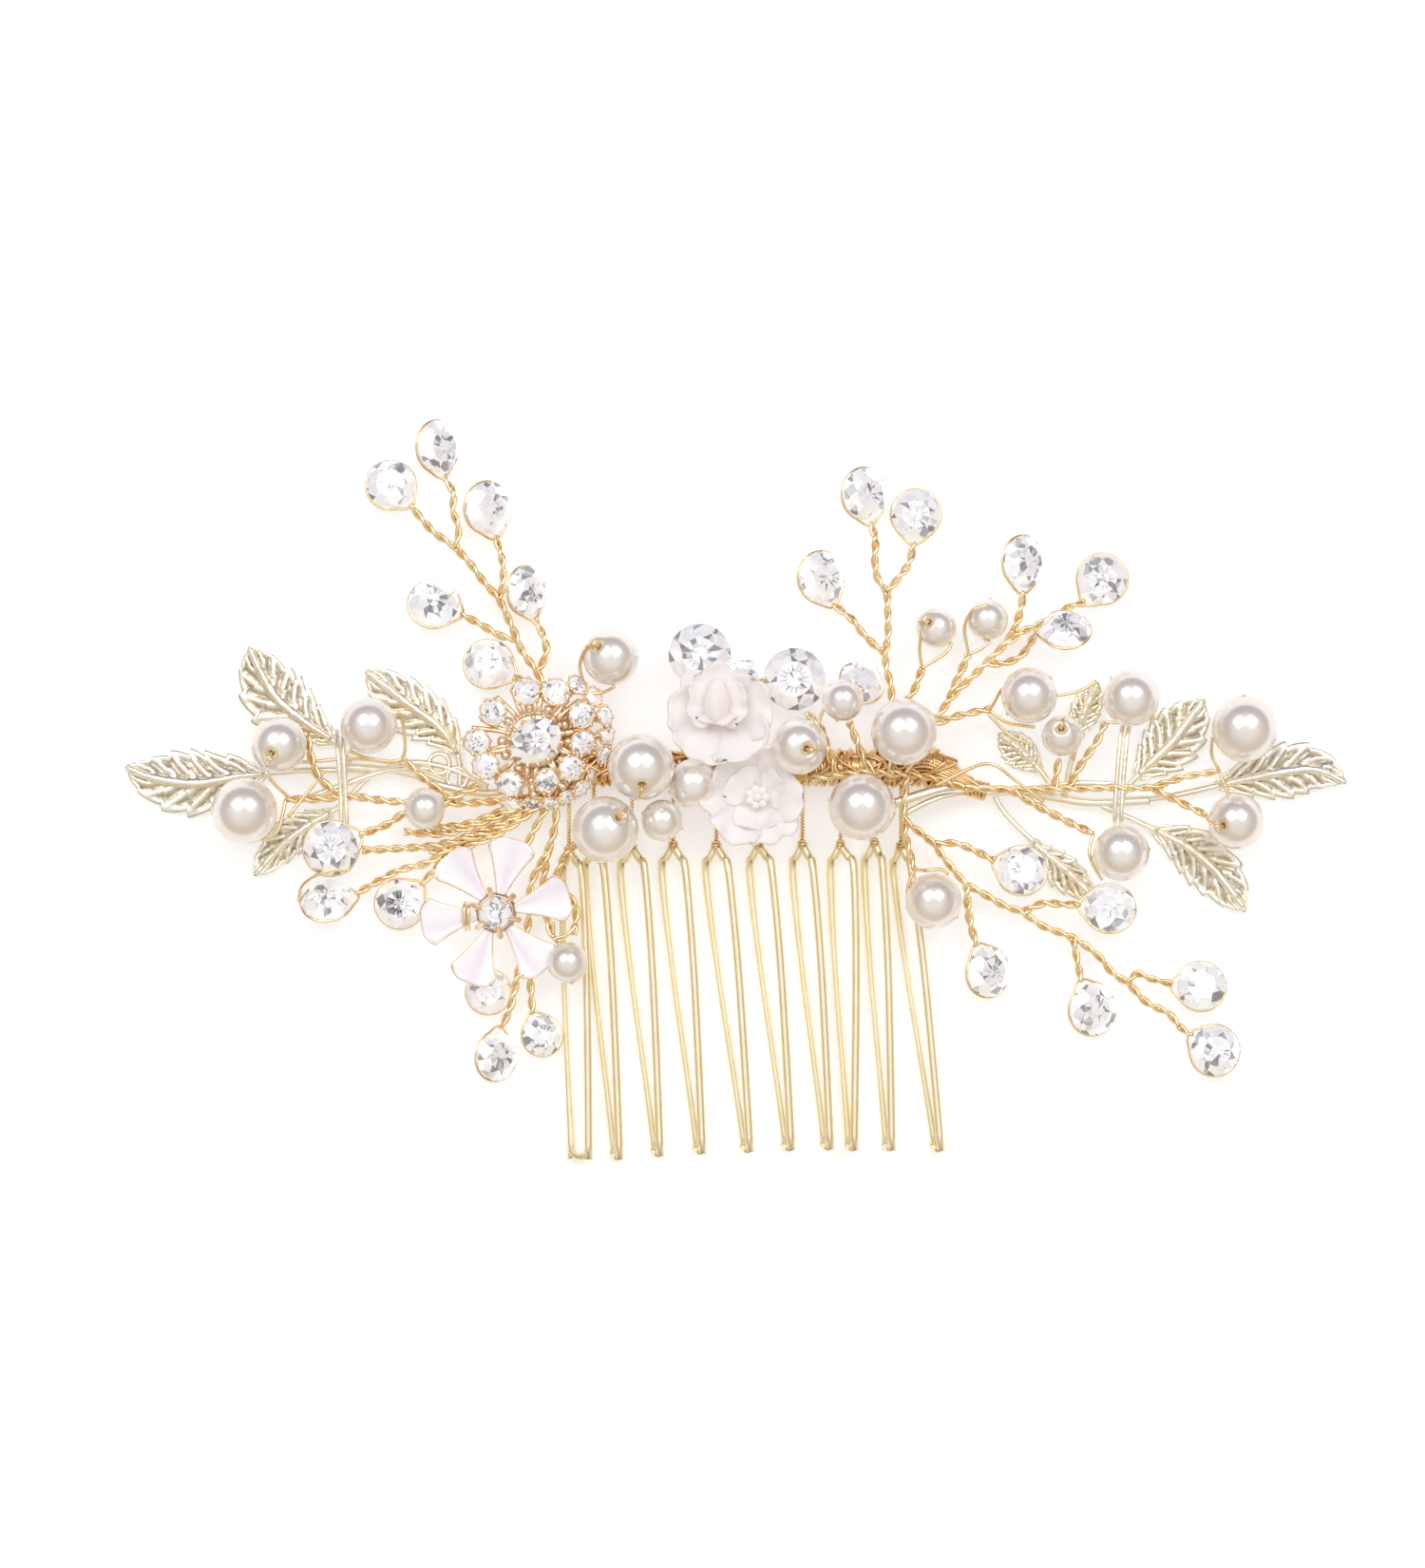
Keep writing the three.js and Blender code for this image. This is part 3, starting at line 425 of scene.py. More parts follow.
def stone_finish():
    """Foiled glass. Each facet has its own grey of painted reflection, broken by painted shards of what it
    mirrors of the others, and gives off a little light to stay bright in the soft room."""
    finish = Finish(
        "foiled_glass", Roughness=0.06, Metallic=0.25, Coat_Weight=1.0, Coat_Roughness=0.02
    )
    place = finish.node("ShaderNodeTexCoord")
    shards = finish.node("ShaderNodeTexVoronoi", Scale=900.0, Randomness=1.0)
    finish.link(place.outputs["Object"], shards.inputs["Vector"])
    grey = finish.node("ShaderNodeSeparateColor")
    finish.link(shards.outputs["Color"], grey.inputs["Color"])
    # Painted reflections: the greys, from dark to white with a touch of lilac, that the facets and shards
    # show.
    tones = [
        (0.06, (0.3, 0.29, 0.31)),
        (0.24, (0.62, 0.61, 0.64)),
        (0.38, (0.95, 0.95, 0.96)),
        (0.75, (1.0, 1.0, 1.0)),
        (1.0, (0.86, 0.85, 0.92)),
    ]
    tone = finish.calculate("MULTIPLY_ADD", grey.outputs["Red"], 0.7, finish.attribute("tone"))
    finish.paint(finish.ramp(tone, tones), glow=0.17)
    return finish.material


def clay_finish():
    """Matt modelling clay, white with painted pinkish shade in its creases and round the petals' hearts, that
    gives off faint light.
    """
    finish = Finish("white_clay", Roughness=0.72, Sheen_Weight=0.2, Subsurface_Weight=0.25)
    finish.shader.inputs["Subsurface Scale"].default_value = 0.0012
    finish.shader.inputs["Subsurface Radius"].default_value = (1.0, 0.75, 0.7)
    whites = [(0.35, (0.93, 0.875, 0.86)), (0.65, (0.97, 0.93, 0.915))]
    tint = finish.ramp(finish.object_noise(240.0, 3.0), whites)
    # Painted shade: where depth marks a crease or a petal's heart, the white is mixed towards pinkish brown.
    painted_fold_shade = mix_colours(finish.tree, finish.attribute("depth"), tint, (0.86, 0.68, 0.58))
    finish.paint(painted_fold_shade, glow=0.05)
    finish.bump(finish.object_noise(900.0, 4.0), 0.25, 0.0002)
    return finish.material


def enamel_finish():
    """Pearly enamel, white with one broad lilac band of painted sheen and shade along each petal, that gives
    off faint light.
    """
    finish = Finish("pearl_enamel", Roughness=0.28, Coat_Weight=0.8, Coat_Roughness=0.08)
    # Painted sheen and shade: where depth marks the band, the white is mixed towards lilac.
    painted_sheen_band = mix_colours(
        finish.tree, finish.attribute("depth"), (1.0, 0.98, 1.0), (0.84, 0.74, 0.85)
    )
    clouds = finish.ramp(finish.object_noise(300.0), [(0.3, (0.95,) * 3), (0.7, (1.0,) * 3)])
    finish.paint(mix_colours(finish.tree, 1.0, painted_sheen_band, clouds, "MULTIPLY"), glow=0.1)
    finish.bump(finish.object_noise(1100.0, 2.0), 0.08, 0.0001)
    return finish.material


COMB_GOLD = gold_finish("comb_gold", (1.0, 0.92, 0.68), (1.0, 0.87, 0.58), 0.36)
WIRE_GOLD = gold_finish("spray_gold", (1.0, 0.85, 0.56), (0.94, 0.68, 0.36), 0.26)
WINDING_GOLD = gold_finish("winding_gold", (0.98, 0.74, 0.42), (0.8, 0.47, 0.2), 0.3)
ROSE_GOLD = gold_finish("rose_gold", (1.0, 0.87, 0.69), (0.96, 0.68, 0.44), 0.28)
LEAF_GOLD = leaf_finish()
NACRE = pearl_finish()
GLASS = stone_finish()
CLAY = clay_finish()
ENAMEL = enamel_finish()


# --- Comb -------------------------------------------------------------------------------

# Each tooth: its top, the x of its legs at their shoulders, its tip and half its tip's width.
TEETH = [
    ((-20.2, -7.9), -21.0, -18.6, (-18.9, -44.5), 1.05),
    ((-17.2, -7.6), -18.3, -15.9, (-14.5, -44.5), 0.35),
    ((-12.6, -7.5), -14.0, -11.0, (-9.6, -44.1), 0.35),
    ((-7.6, -7.3), -9.0, -6.1, (-4.5, -43.8), 0.35),
    ((-2.4, -7.3), -3.7, -0.9, (1.2, -43.6), 0.35),
    ((2.7, -7.2), 1.6, 4.3, (6.2, -43.4), 0.35),
    ((8.0, -7.2), 6.8, 9.3, (10.9, -43.3), 0.35),
    ((12.6, -7.2), 11.4, 14.2, (13.9, -43.4), 0.35),
    ((16.7, -7.0), 15.5, 17.7, (18.4, -43.4), 0.35),
    ((19.9, -7.4), 19.0, 21.2, (24.2, -43.5), 0.35),
]
BACK_LEG, FRONT_LEG = 0.5, 2.1  # heights of a tooth's two legs
LEG_MIDDLE = (BACK_LEG + FRONT_LEG) / 2
BACK_LEG_THINNING = 0.13
SPINE_Y = 2.4


def tooth_points(top, left, right, tip, tip_half):
    """From the top down the left leg, round the tip and up the right leg to the top again."""
    (top_x, top_y), (tip_x, tip_y) = top, tip
    turn = (FRONT_LEG - BACK_LEG) / 2

    def leg(x, height, side):
        crown = Vector((top_x + 0.12 * side, top_y + 0.2, LEG_MIDDLE + 0.25 * side))
        slope = Vector((top_x + 0.62 * (x - top_x), top_y - 1.1, (LEG_MIDDLE + height) / 2))
        leg_top = Vector((x, top_y - 2.7, height))
        leg_end = Vector((tip_x + side * tip_half, tip_y + 1.6, height))
        bow = Vector((0.25 * side, 0, 0))
        return [crown, slope, leg_top, leg_top.lerp(leg_end, 0.4) + bow, leg_end]

    bend = []
    for degrees in (-60, 0, 60):
        sine = math.sin(math.radians(degrees))
        lift = turn * (1 - math.cos(math.radians(degrees)))
        bend.append(Vector((tip_x + tip_half * sine, tip_y + lift, LEG_MIDDLE + sine * turn)))
    return leg(left, BACK_LEG, -1) + bend + leg(right, FRONT_LEG, 1)[::-1]


def tooth_radius(share):
    """The wire's radius at a share of the way along a tooth. The back leg is a little thinner."""
    near_back_leg = 1 - abs(share - 0.28) / 0.2
    return COMB_RADIUS - BACK_LEG_THINNING * min(1, max(0, 1.6 * near_back_leg))


def wrapped(shape, start, end, core, strand, spacing):
    """Thin wire coiled closely round a straight core."""
    axis = end - start
    turns = max(2, round(axis.length / spacing))
    direction, normal, binormal = frames([start, end])[0]
    points = []
    for i in range(9 * turns + 1):
        angle = TURN * i / 9
        reach = core + strand * (0.9 + 0.4 * noise.noise(Vector((i * 0.13, start.x, 0))))
        offset = normal * math.cos(angle) + binormal * math.sin(angle)
        points.append(start + axis * (i / (9 * turns)) + offset * reach)
    tube(shape, [start - direction * 0.1, end], core, 8)
    tube(shape, points, strand, 5)


def build_comb():
    shape = Shape()
    for top, left, right, tip, tip_half in TEETH:
        points = spline(tooth_points(top, left, right, tip, tip_half), 0.5)
        tube(shape, points, tooth_radius, 12)
    make_piece("comb_teeth", shape, COMB_GOLD, ["comb_wire"])
    hangers = Shape()
    for (x, y), _, _, _, _ in TEETH:
        low = Vector((x, y + 0.1, LEG_MIDDLE))
        high = Vector((x, SPINE_Y, LEG_MIDDLE))
        wrapped(hangers, low, high, 0.16, 0.1, 0.4)
        wrapped(hangers, low - Vector((0, 0.25, 0)), low + Vector((0, 0.8, 0)), 0.42, 0.16, 0.34)
    make_piece("tooth_hangers", hangers, WIRE_GOLD)


# --- Winding round the spine ------------------------------------------------------------

# Each run: from, to, half heights across it at both ends, and its turns.
WINDINGS = [
    ((-20.8, SPINE_Y), (24.0, SPINE_Y + 0.2), 1.8, 2.0, 62),
    ((23.4, SPINE_Y + 0.1), (28.8, -0.2), 2.1, 0.75, 15),
]
WINDING_TOP = 4.1
WINDING_WIRE, CROSSING_WIRE = 0.24, 0.2
CROSSINGS = 46
NECK_WIRES = 7
CORE = [(-20.6, 2.4), (0, 2.4), (23, 2.5), (26, 1.4), (28.9, -0.2)]
CORE_HEIGHT = 2.1


def core_radius(share):
    """The radius of the spine's core, which tapers into the neck at its right end."""
    return 1.65 - 1.05 * max(0, (share - 0.85) / 0.15)


def winding(shape, start, end, half_start, half_end, turns, hand):
    """Thin wire wound unevenly in one direction round a flat bundle."""
    steps = 14 * turns
    first, last = Vector((*start, 0)), Vector((*end, 0))
    direction = (last - first).normalized()
    across = Vector((-direction.y, direction.x, 0))
    points = []
    for i in range(steps + 1):
        share = i / steps
        angle = hand * TURN * turns * share
        wander = noise.noise(Vector((share * 23, turns, hand)))
        half = half_start + (half_end - half_start) * share + 0.35 * wander
        height = (WINDING_TOP / 2 - 0.2) * min(1.0, half / 2.0) + 0.2 * wander
        slide = 1.1 * noise.noise(Vector((share * 37, hand, turns)))
        centre = first.lerp(last, share) + direction * slide + up(WINDING_TOP / 2)
        points.append(centre + across * half * math.cos(angle) + up(height * math.sin(angle)))
    tube(shape, points, WINDING_WIRE, 5)


def build_winding():
    shape = Shape()
    for start, end, half_start, half_end, turns in WINDINGS:
        winding(shape, start, end, half_start, half_end, turns, 1)
        winding(shape, start, end, half_start + 0.25, half_end + 0.2, turns // 2, -1)
    for k in range(CROSSINGS):
        x = -20 + 44 * k / CROSSINGS
        points = [
            Vector((x, SPINE_Y - 2.0, 3.0)),
            Vector((x + RNG.uniform(-1.0, 2.0), SPINE_Y - 0.8, 4.3)),
            Vector((x + RNG.uniform(-2.0, 4.0), SPINE_Y + 0.9, 4.4)),
            Vector((x + RNG.uniform(-3.0, 5.0), SPINE_Y + 2.0, 3.0)),
        ]
        tube(shape, spline(points, 0.5), CROSSING_WIRE, 5)
    for k in range(NECK_WIRES):
        offset = 0.45 * (k - 3)
        points = [
            Vector((17 + k, SPINE_Y + 1.1 * offset, 3.9 - 0.25 * abs(k - 3))),
            Vector((23, SPINE_Y + 0.2 + offset, 4.2 - 0.25 * abs(k - 3))),
            Vector((26.4, 1.2 + 0.7 * offset, 3.8)),
            Vector((29.4, -0.2 + 0.3 * offset, 3.0 + 0.1 * k)),
        ]
        tube(shape, spline(points, 0.5), 0.26, 6)
    wrapped(shape, Vector((28.0, 0.1, 2.7)), Vector((30.2, -0.4, 2.7)), 0.85, 0.2, 0.5)
    core = [Vector((x, y, CORE_HEIGHT)) for x, y in CORE]
    tube(shape, spline(core, 1.0), core_radius, 10)
    make_piece("spine_winding", shape, WINDING_GOLD, ["binding_wire"])


# --- Sprays of twisted wire -------------------------------------------------------------

LOW, ON_LEAF, OVER_SPINE = 2.6, 3.2, 4.95  # heights that many routes share
LEFT_GATHER, RIGHT_GATHER = (-21.7, 0.2, ON_LEAF), (20.6, 1.7, OVER_SPINE)  # where stems meet
LEAN = 1.95  # a stone leans this many times as far as its plain solid
GIRDLE_WIRE, LOOP_WIRE, BORE_WIRE = 0.18, 0.22, 0.2

# Each stem: the stone it holds or None, and its route from that stone inwards.
LEFT_STEMS = [
    ("left_top_1", [(-38.6, 33.4), (-36.8, 31.2, LOW), (-35, 29.9), (-33.8, 29, LOW)]),
    ("left_top_2", [(-34.6, 37.6), (-34.1, 35.6, LOW), (-34.2, 33.6), (-33.5, 31.4), (-33.8, 29, LOW)]),
    (None, [(-33.8, 29, LOW), (-32, 27), (-30.5, 25), (-28.6, 22.8), (-27.5, 20.5), (-26.5, 18.3),
            (-25.8, 16.5), (-24, 14), (-22, 10), (-21.7, 6), (-22, 2.6), LEFT_GATHER]),
    ("left_top_3", [(-28.3, 30.4), (-28.4, 28.4, LOW), (-28.1, 26.5), (-28.2, 24.5), (-28.6, 22.8, LOW)]),
    ("left_top_4", [(-23.2, 20.6), (-23.1, 18, LOW), (-23, 16), (-24, 14, LOW)]),
    ("left_top_5", [(-33.3, 21.1), (-31, 19.9, LOW), (-29, 18.7), (-27.4, 18.1), (-26.3, 18, LOW)]),
    ("left_top_6", [(-26.6, 13.4), (-24.5, 12.2, LOW), (-22, 10, LOW)]),
    (None, [(-17.7, 11.4, 5.2), (-19, 10, 3.6), (-21.7, 6, 3)]),
    (None, [(-54.3, -1.3, ON_LEAF), (-50, -1.2), (-46, -1), (-42, -1.5), (-36, -1.8), (-30, -1.6),
            (-25, -1), LEFT_GATHER]),
    (None, [(-51.6, 6.2, 5.2), (-51, 3), (-50, 1), (-47.5, -1, ON_LEAF)]),
    (None, [(-40.2, 3.8, 4.6), (-38, 1.5), (-36, 0), (-33, -1.7, ON_LEAF)]),
    ("left_low_1", [(-45.4, -5.6), (-42, -4.3, 3.9), (-40, -3, 3.6), (-36, -1.8, 3.6), (-31, 0.4, 4.2)]),
    (None, [(-45, -7.4, 4.6), (-40.6, -7.2, 4), (-36, -6.8), (-30, -5.3), (-26, -3), LEFT_GATHER]),
    ("left_low_2", [(-46.2, -11.4), (-41, -10, 3.4), (-37, -8.8), (-33, -6), (-28, -4), LEFT_GATHER]),
    ("left_low_3", [(-38.2, -11.8), (-36.4, -9.8, 2.8), (-33, -6, 3)]),
    ("left_low_4", [(-27.8, -28.8), (-27.3, -26.5, 2.4), (-26.4, -22.5), (-25.5, -19), (-25, -15),
                    (-24.6, -11), (-22.7, -7.5), (-21.8, -4), LEFT_GATHER]),
    ("left_low_5", [(-24.6, -27), (-24.8, -24, 2.4), (-25, -21), (-25.5, -19, 2.6)]),
    (None, [(-22.7, -7.5, 3), (-23.2, -11, 3.2), (-23, -14, 3.3), (-22.6, -16.4, 4), (-21.9, -18, 5)]),
    (None, [(-17.6, -5, 4.2), (-20.5, -8, 4.6), (-21.6, -11.5, 4.6), (-19.4, -14, 3.9), (-19.6, -17.6, 3.6)]),
    (None, [(-38, -4.6, 3.8), (-33, -4.4, 3.8), (-28, -2.6, 3.4), (-23, -0.5, 3), (-19, -0.4, 3)]),
    (None, [(-40, -5.2, 3.4), (-35, -5.4, 3.6), (-30, -3.8, 3.8), (-25.6, -1.8, 4), LEFT_GATHER]),
    (None, [(-37, -7.6, 3.2), (-32, -6.8, 3.4), (-27.6, -4.8, 3.6), (-24, -2.2, 3.8), LEFT_GATHER]),
]
RIGHT_STEMS = [
    ("right_top_1", [(12.5, 22.3), (13.9, 20.5, LOW), (15.2, 18.8), (16.8, 17.2), (18, 16.3, LOW)]),
    ("right_top_2", [(17, 32), (16.8, 30, LOW), (16.7, 28), (17, 25.5), (18.2, 23.7, LOW)]),
    ("right_top_3", [(21.4, 29.4), (20.9, 27.3, LOW), (19.6, 25.4), (18.2, 23.7, LOW)]),
    (None, [(18.2, 23.7, LOW), (18.3, 21), (18.3, 18.5), (18, 16.3), (18.1, 14.5), (18.7, 12),
            (18.6, 8.4, 3.2), (18.6, 6, 3.6), (18.6, 4, 4.7), (18.6, 1.7, OVER_SPINE)]),
    (None, [(22.4, 14.5, 3.4), (21.5, 12), (20.4, 10.4), (18.6, 8.4, 3.2)]),
    (None, [(28, 16.2, 3.4), (26.8, 13.5), (26, 11.8), (25.8, 10.8, 3)]),
    ("right_top_4", [(35, 23.8), (34.3, 21.5, LOW), (33.5, 19, LOW)]),
    ("right_top_5", [(42.2, 22.6), (40.2, 21.9, 1.6), (36.2, 19.6, 1.8), (34.5, 18.9, LOW), (32, 17, LOW)]),
    ("right_top_6", [(36.6, 17.2), (34.5, 16.2, 3.4), (32.6, 15.2), (30, 15, LOW)]),
    (None, [(33.5, 19, LOW), (32, 17), (30, 15), (28.5, 13.5), (25.8, 10.8), (23.8, 7.8, 3.2),
            (22.3, 5.6, 3.6), (21.4, 4, 4.7), RIGHT_GATHER]),
    (None, [(30.6, 9.6, 3.8), (29, 9.3), (26.5, 8.7), (23.8, 7.8, 3.2)]),
    (None, [(27.5, 0.1, 4.5), (34, -0.1, 3.7), (40, 0, 3.6), (46, 0.1), (50, 0.2), (54, 1.4),
            (58, 2.1, 3.6)]),
    (None, [(9, 1.2, OVER_SPINE), (15, 1.9), RIGHT_GATHER, (24, 1.2, 4.9), (27.5, 0.1, 4.5)]),
    (None, [(8.5, 9.2, 3), (10.4, 7, 4), (11.2, 4, 4.8), (12, 1.7, OVER_SPINE)]),
    (None, [(13.6, 8, 5.4), (14.4, 6, 5.2), (15.4, 3.4, 5.2), (17, 1.6, 5.2)]),
    (None, [(38.4, 0, 3.5), (38.6, 2), (38.9, 3.6, 3.9)]),
    (None, [(44.4, 8, 4.4), (43.4, 5.6), (41.6, 3), (40, 0, 3.4)]),
    (None, [(50, 0.2, 3.3), (53, -1.4, 3.6), (56.6, -3.2, 4.6)]),
    (None, [(43, -5.4, 4.4), (40, -4, 3.7), (36.5, -2.2), (33, -0.1, 3.6)]),
    (None, [RIGHT_GATHER, (20.2, -1), (20.2, -3.6, OVER_SPINE), (22, -5.2, 4.4),
            (23.8, -6.7, 3.6), (24.9, -8.2, 3), (26.5, -10.2, LOW), (27.8, -11.5), (30, -12.8),
            (32.5, -14.2), (34.5, -14.9), (37, -16.6), (40.6, -18), (43.5, -20), (45.5, -22.3),
            (47.3, -23.5), (49.5, -25.8), (52, -27), (53.4, -28.6, 2.4)]),
    ("right_low_6", [(55.2, -30), (54.4, -29.4, 2.4), (53.4, -28.6, 2.4)]),
    ("right_low_1", [(31.2, -8.8), (29, -7.6, 3.6), (26.5, -6.6), (23.8, -6.7, 3.6)]),
    ("right_low_2", [(41.5, -14.2), (39, -13.9, 3.6), (37, -13.8), (34.5, -14.9, LOW)]),
    ("right_low_3", [(29.1, -19.2), (28.3, -16.6, LOW), (27.9, -14), (27.8, -11.5, LOW)]),
    ("right_low_4", [(41.7, -23.6), (41.2, -21, LOW), (40.6, -18, LOW)]),
    ("right_low_5", [(52.7, -23.5), (50, -22.9, LOW), (48.3, -22.3), (47.3, -23.5, LOW)]),
    (None, [(21.4, -9.7, 5.6), (20.8, -7.5, 5.2), (20.3, -5.5), (20.2, -3.6, OVER_SPINE)]),
]
# Single wires: through pearls, round their sides and across the branches.
LEFT_LOOPS = [
    [(-16.8, 17.3, 8.6), (-18.2, 16.6, 7.4), (-18.8, 14.6, 6), (-18.3, 12.6, 5.2), (-17.7, 11.4, 5.2)],
    [(-14.6, 12.3, 6.2), (-16, 11.6, 5.6), (-17.7, 11.4, 5.2)],
    [(-56.2, 1.6, 7.6), (-55.2, 0.2, 5.6), (-53.6, -1.3, ON_LEAF)],
    [(-56.9, -6.2, 5.4), (-55.2, -5, 4.4), (-54.3, -1.3, ON_LEAF)],
    [(-52.4, 7.4, 6), (-51.4, 6.6, 4.8), (-51.2, 3.4, 4.2)],
    [(-46.6, 4.6, 4.6), (-44, 3.6, 4.6), (-40.2, 3.7, 4.6), (-40.1, 8.2, 5.4), (-40.7, 9.2, 6)],
    [(-55.5, 3.2, 4.6), (-52, 3.2, 3.2), (-46, 3.6, 3), (-40, 2.8, 3), (-35, 1.2, 3.4)],
    [(-54, -3.4, 3.8), (-51.6, -0.4, 3.6), (-49.6, 2.2, 3.4)],
    [(-22, -16, 5), (-21.9, -18, 5), (-21.2, -18.7, 5.6)],
    [(-19.2, -16.4, 4.6), (-20.4, -17.6, 5), (-21.9, -18, 5)],
    [(-32.6, -13.7, 4.8), (-32.7, -14.2, 5.9), (-32.7, -16.2, 5.9), (-32.6, -17, 4.8)],
    [(-32.1, -13.8, 4.8), (-32.2, -14.3, 5.9), (-32.2, -16.1, 5.9), (-32.1, -16.9, 4.8)],
    [(-46.4, -9.7, 5.2), (-49.5, -10, 5.4), (-52.2, -11.6, 4.2), (-52.8, -13.6, 2.6)],
]
RIGHT_LOOPS = [
    [(23, 20.1, 5.6), (22.3, 19, 5), (22.1, 16.6, 4), (22.4, 14.5, 3.4)],
    [(26, 17.6, 3.6), (25.3, 16.4, 3.6), (22.4, 14.5, 3.4)],
    [(30.3, 22.1, 5.4), (28.4, 21.4, 5), (27.5, 19.4, 4.2), (28, 16.2, 3.4)],
    [(30.6, 17.8, 3.6), (29.4, 16.8, 3.6), (28, 16.2, 3.4)],
    [(33.4, 12.6, 6.8), (32, 12, 5.6), (31.2, 10.6, 4.4), (30.6, 9.6, 3.8)],
    [(30.6, 9.4, 3.8), (32.6, 8, 4.2), (36, 7.4, 4.4)],
    [(30.4, 9, 3.8), (33, 6.4, 3.8), (35.4, 5.4, 4)],
    [(57.2, 6.4, 6.6), (57.2, 4, 5.4), (58.2, 2.1, 3.6), (59.4, -1, 4.6)],
    [(58, -4.5, 8.6), (56.8, -3.9, 6.6), (56.6, -3.2, 4.6)],
    [(43, -5.4, 4.4), (42.5, -8, 5), (44, -11, 5)],
    [(44.4, 8, 4.4), (46.6, 8, 5), (50.4, 8.6, 5.2)],
    [(21.4, -9.7, 5.6), (22.6, -9.8, 7.6), (24.6, -9.7, 8), (25.4, -10.3, 8)],
    [(21.4, -9.7, 5.6), (20.6, -12, 5.6), (20.6, -14.6, 5.4)],
    [(38.6, 11.2, 4.4), (41.4, 11.8, 3.6), (43.4, 13, 3)],
    [(39.4, 8.8, 4.6), (41, 6.6, 4), (40.6, 3.4, 3.6)],
    [(24, 0.4, 5.4), (30, 3, 5.2), (33.6, 1, 4.6), (37, -1.6, 4)],
    [(9.4, 6, 6), (10.6, 9.6, 6.2), (12, 8.4, 6.4)],
]


def vectors(points):
    """Points with every missing height filled in from the known heights on either side."""
    known = [i for i, point in enumerate(points) if len(point) == 3]
    result = []
    for i, point in enumerate(points):
        before = max((k for k in known if k <= i), default=known[0])
        after = min((k for k in known if k >= i), default=known[-1])
        share = 0 if after == before else (i - before) / (after - before)
        height = points[before][2] + share * (points[after][2] - points[before][2])
        result.append(Vector((point[0], point[1], height)))
    return result


def stone_place(node):
    """Girdle radius, and the matrix of a leaning stone that stands where its solid does."""
    low, high = table_box(node)
    size = high - low
    radius = max(size.x, size.y) / 2
    lean = LEAN * math.acos(min(size.x, size.y) / (2 * radius))
    turn = Matrix.Rotation(lean, 4, "Y") if size.x < size.y else Matrix.Rotation(-lean, 4, "X")
    centre = (low + high) / 2
    centre.z = low.z + radius * max(PAVILION * math.cos(lean), math.sin(lean) + 0.05)
    return radius, Matrix.Translation(centre) @ turn


def girdle_loop(shape, radius, place, toward=None):
    """The wire round a stone's girdle. It runs out to a point at the local angle toward."""
    ring = []
    for k in range(36):
        angle = TURN * k / 36
        pull = 0 if toward is None else max(0.0, math.cos(angle - toward)) ** 16
        reach = radius * (1 + 0.24 * pull)
        height = -0.09 * radius + 0.12 * math.sin(2 * angle + radius)
        ring.append(place @ Vector((reach * math.cos(angle), reach * math.sin(angle), height)))
    tube(shape, ring, GIRDLE_WIRE, 6, closed=True)


def build_spray(name, stems, loops, node):
    shape = Shape()
    for stone, points in stems:
        if stone is None:
            twisted_pair(shape, vectors(points))
            continue
        radius, place = stone_place(f"stone_{stone}")
        rest = vectors(points[1:])
        local = place.inverted() @ Vector((*points[0][:2], rest[0].z))
        local.z = 0
        girdle_loop(shape, radius, place, math.atan2(local.y, local.x))
        start = place @ (local.normalized() * radius * 1.15)
        twisted_pair(shape, [start, *rest])
    for points in loops:
        tube(shape, spline(vectors(points), 0.35), LOOP_WIRE, 6)
    make_piece(name, shape, WIRE_GOLD, [node])


# --- Pearls -----------------------------------------------------------------------------

# Bores whose mouth shows from the front: where each points, and which way its wire leaves.
BORES = {
    2: ((-0.26, -0.38, 0.88), (-0.4, -1)),
    5: ((-0.5, 0.42, 0.75), (-1, 0.1)),
    6: ((0.03, -0.62, 0.78), (-0.1, -1)),
    7: ((0.47, 0.42, 0.77), (0.9, 1)),
    10: ((0.32, -0.12, 0.94), (1, -0.1)),
    14: ((-0.45, 0.3, 0.8), (-1, 0)),
    17: ((-0.08, 0.4, 0.91), (0.2, 1)),
    20: ((-0.62, -0.18, 0.77), (-1, 0.3)),
}
BORE_RADIUS = 0.36
SHOWN_MOUTH, HIDDEN_MOUTH = 1.0, 0.45  # radii of the dished mouths
PEARLS = 23


def build_pearl(number):
    """A drilled bead: a ball with a dished mouth at both ends of its bore, and a painted reflection of the
    wire's gold in it.
    """
    node = f"pearl_{number:02d}"
    low, high = table_box(node)
    centre = (low + high) / 2
    radius = (high.z - low.z) / 2
    angle = number * 2.4
    bore = BORES[number][0] if number in BORES else (math.cos(angle), math.sin(angle), 0.1)
    place = facing(centre, bore)
    mouth_radius = SHOWN_MOUTH if number in BORES else HIDDEN_MOUTH
    mouth = math.asin(mouth_radius / radius)
    profile = [(BORE_RADIUS, radius * 0.3), (BORE_RADIUS, radius * 0.85)]
    # Depths of painted reflection of the wire: full down the bore, fading over the dished mouths.
    depths = [1.0, 0.75]
    rings = 30
    for k in range(rings + 1):
        polar = mouth + (math.pi - 2 * mouth) * k / rings
        profile.append((radius * math.sin(polar), radius * math.cos(polar)))
        depths.append(0.35 if k in (0, rings) else 0.0)
    profile += [(BORE_RADIUS, -radius * 0.85), (BORE_RADIUS, -radius * 0.3)]
    depths += [0.75, 1.0]
    shape = Shape()
    lathe(shape, profile[::-1], 48, place, depths=depths[::-1])
    make_piece(f"bead_{number:02d}", shape, NACRE, [node])
    return place, radius


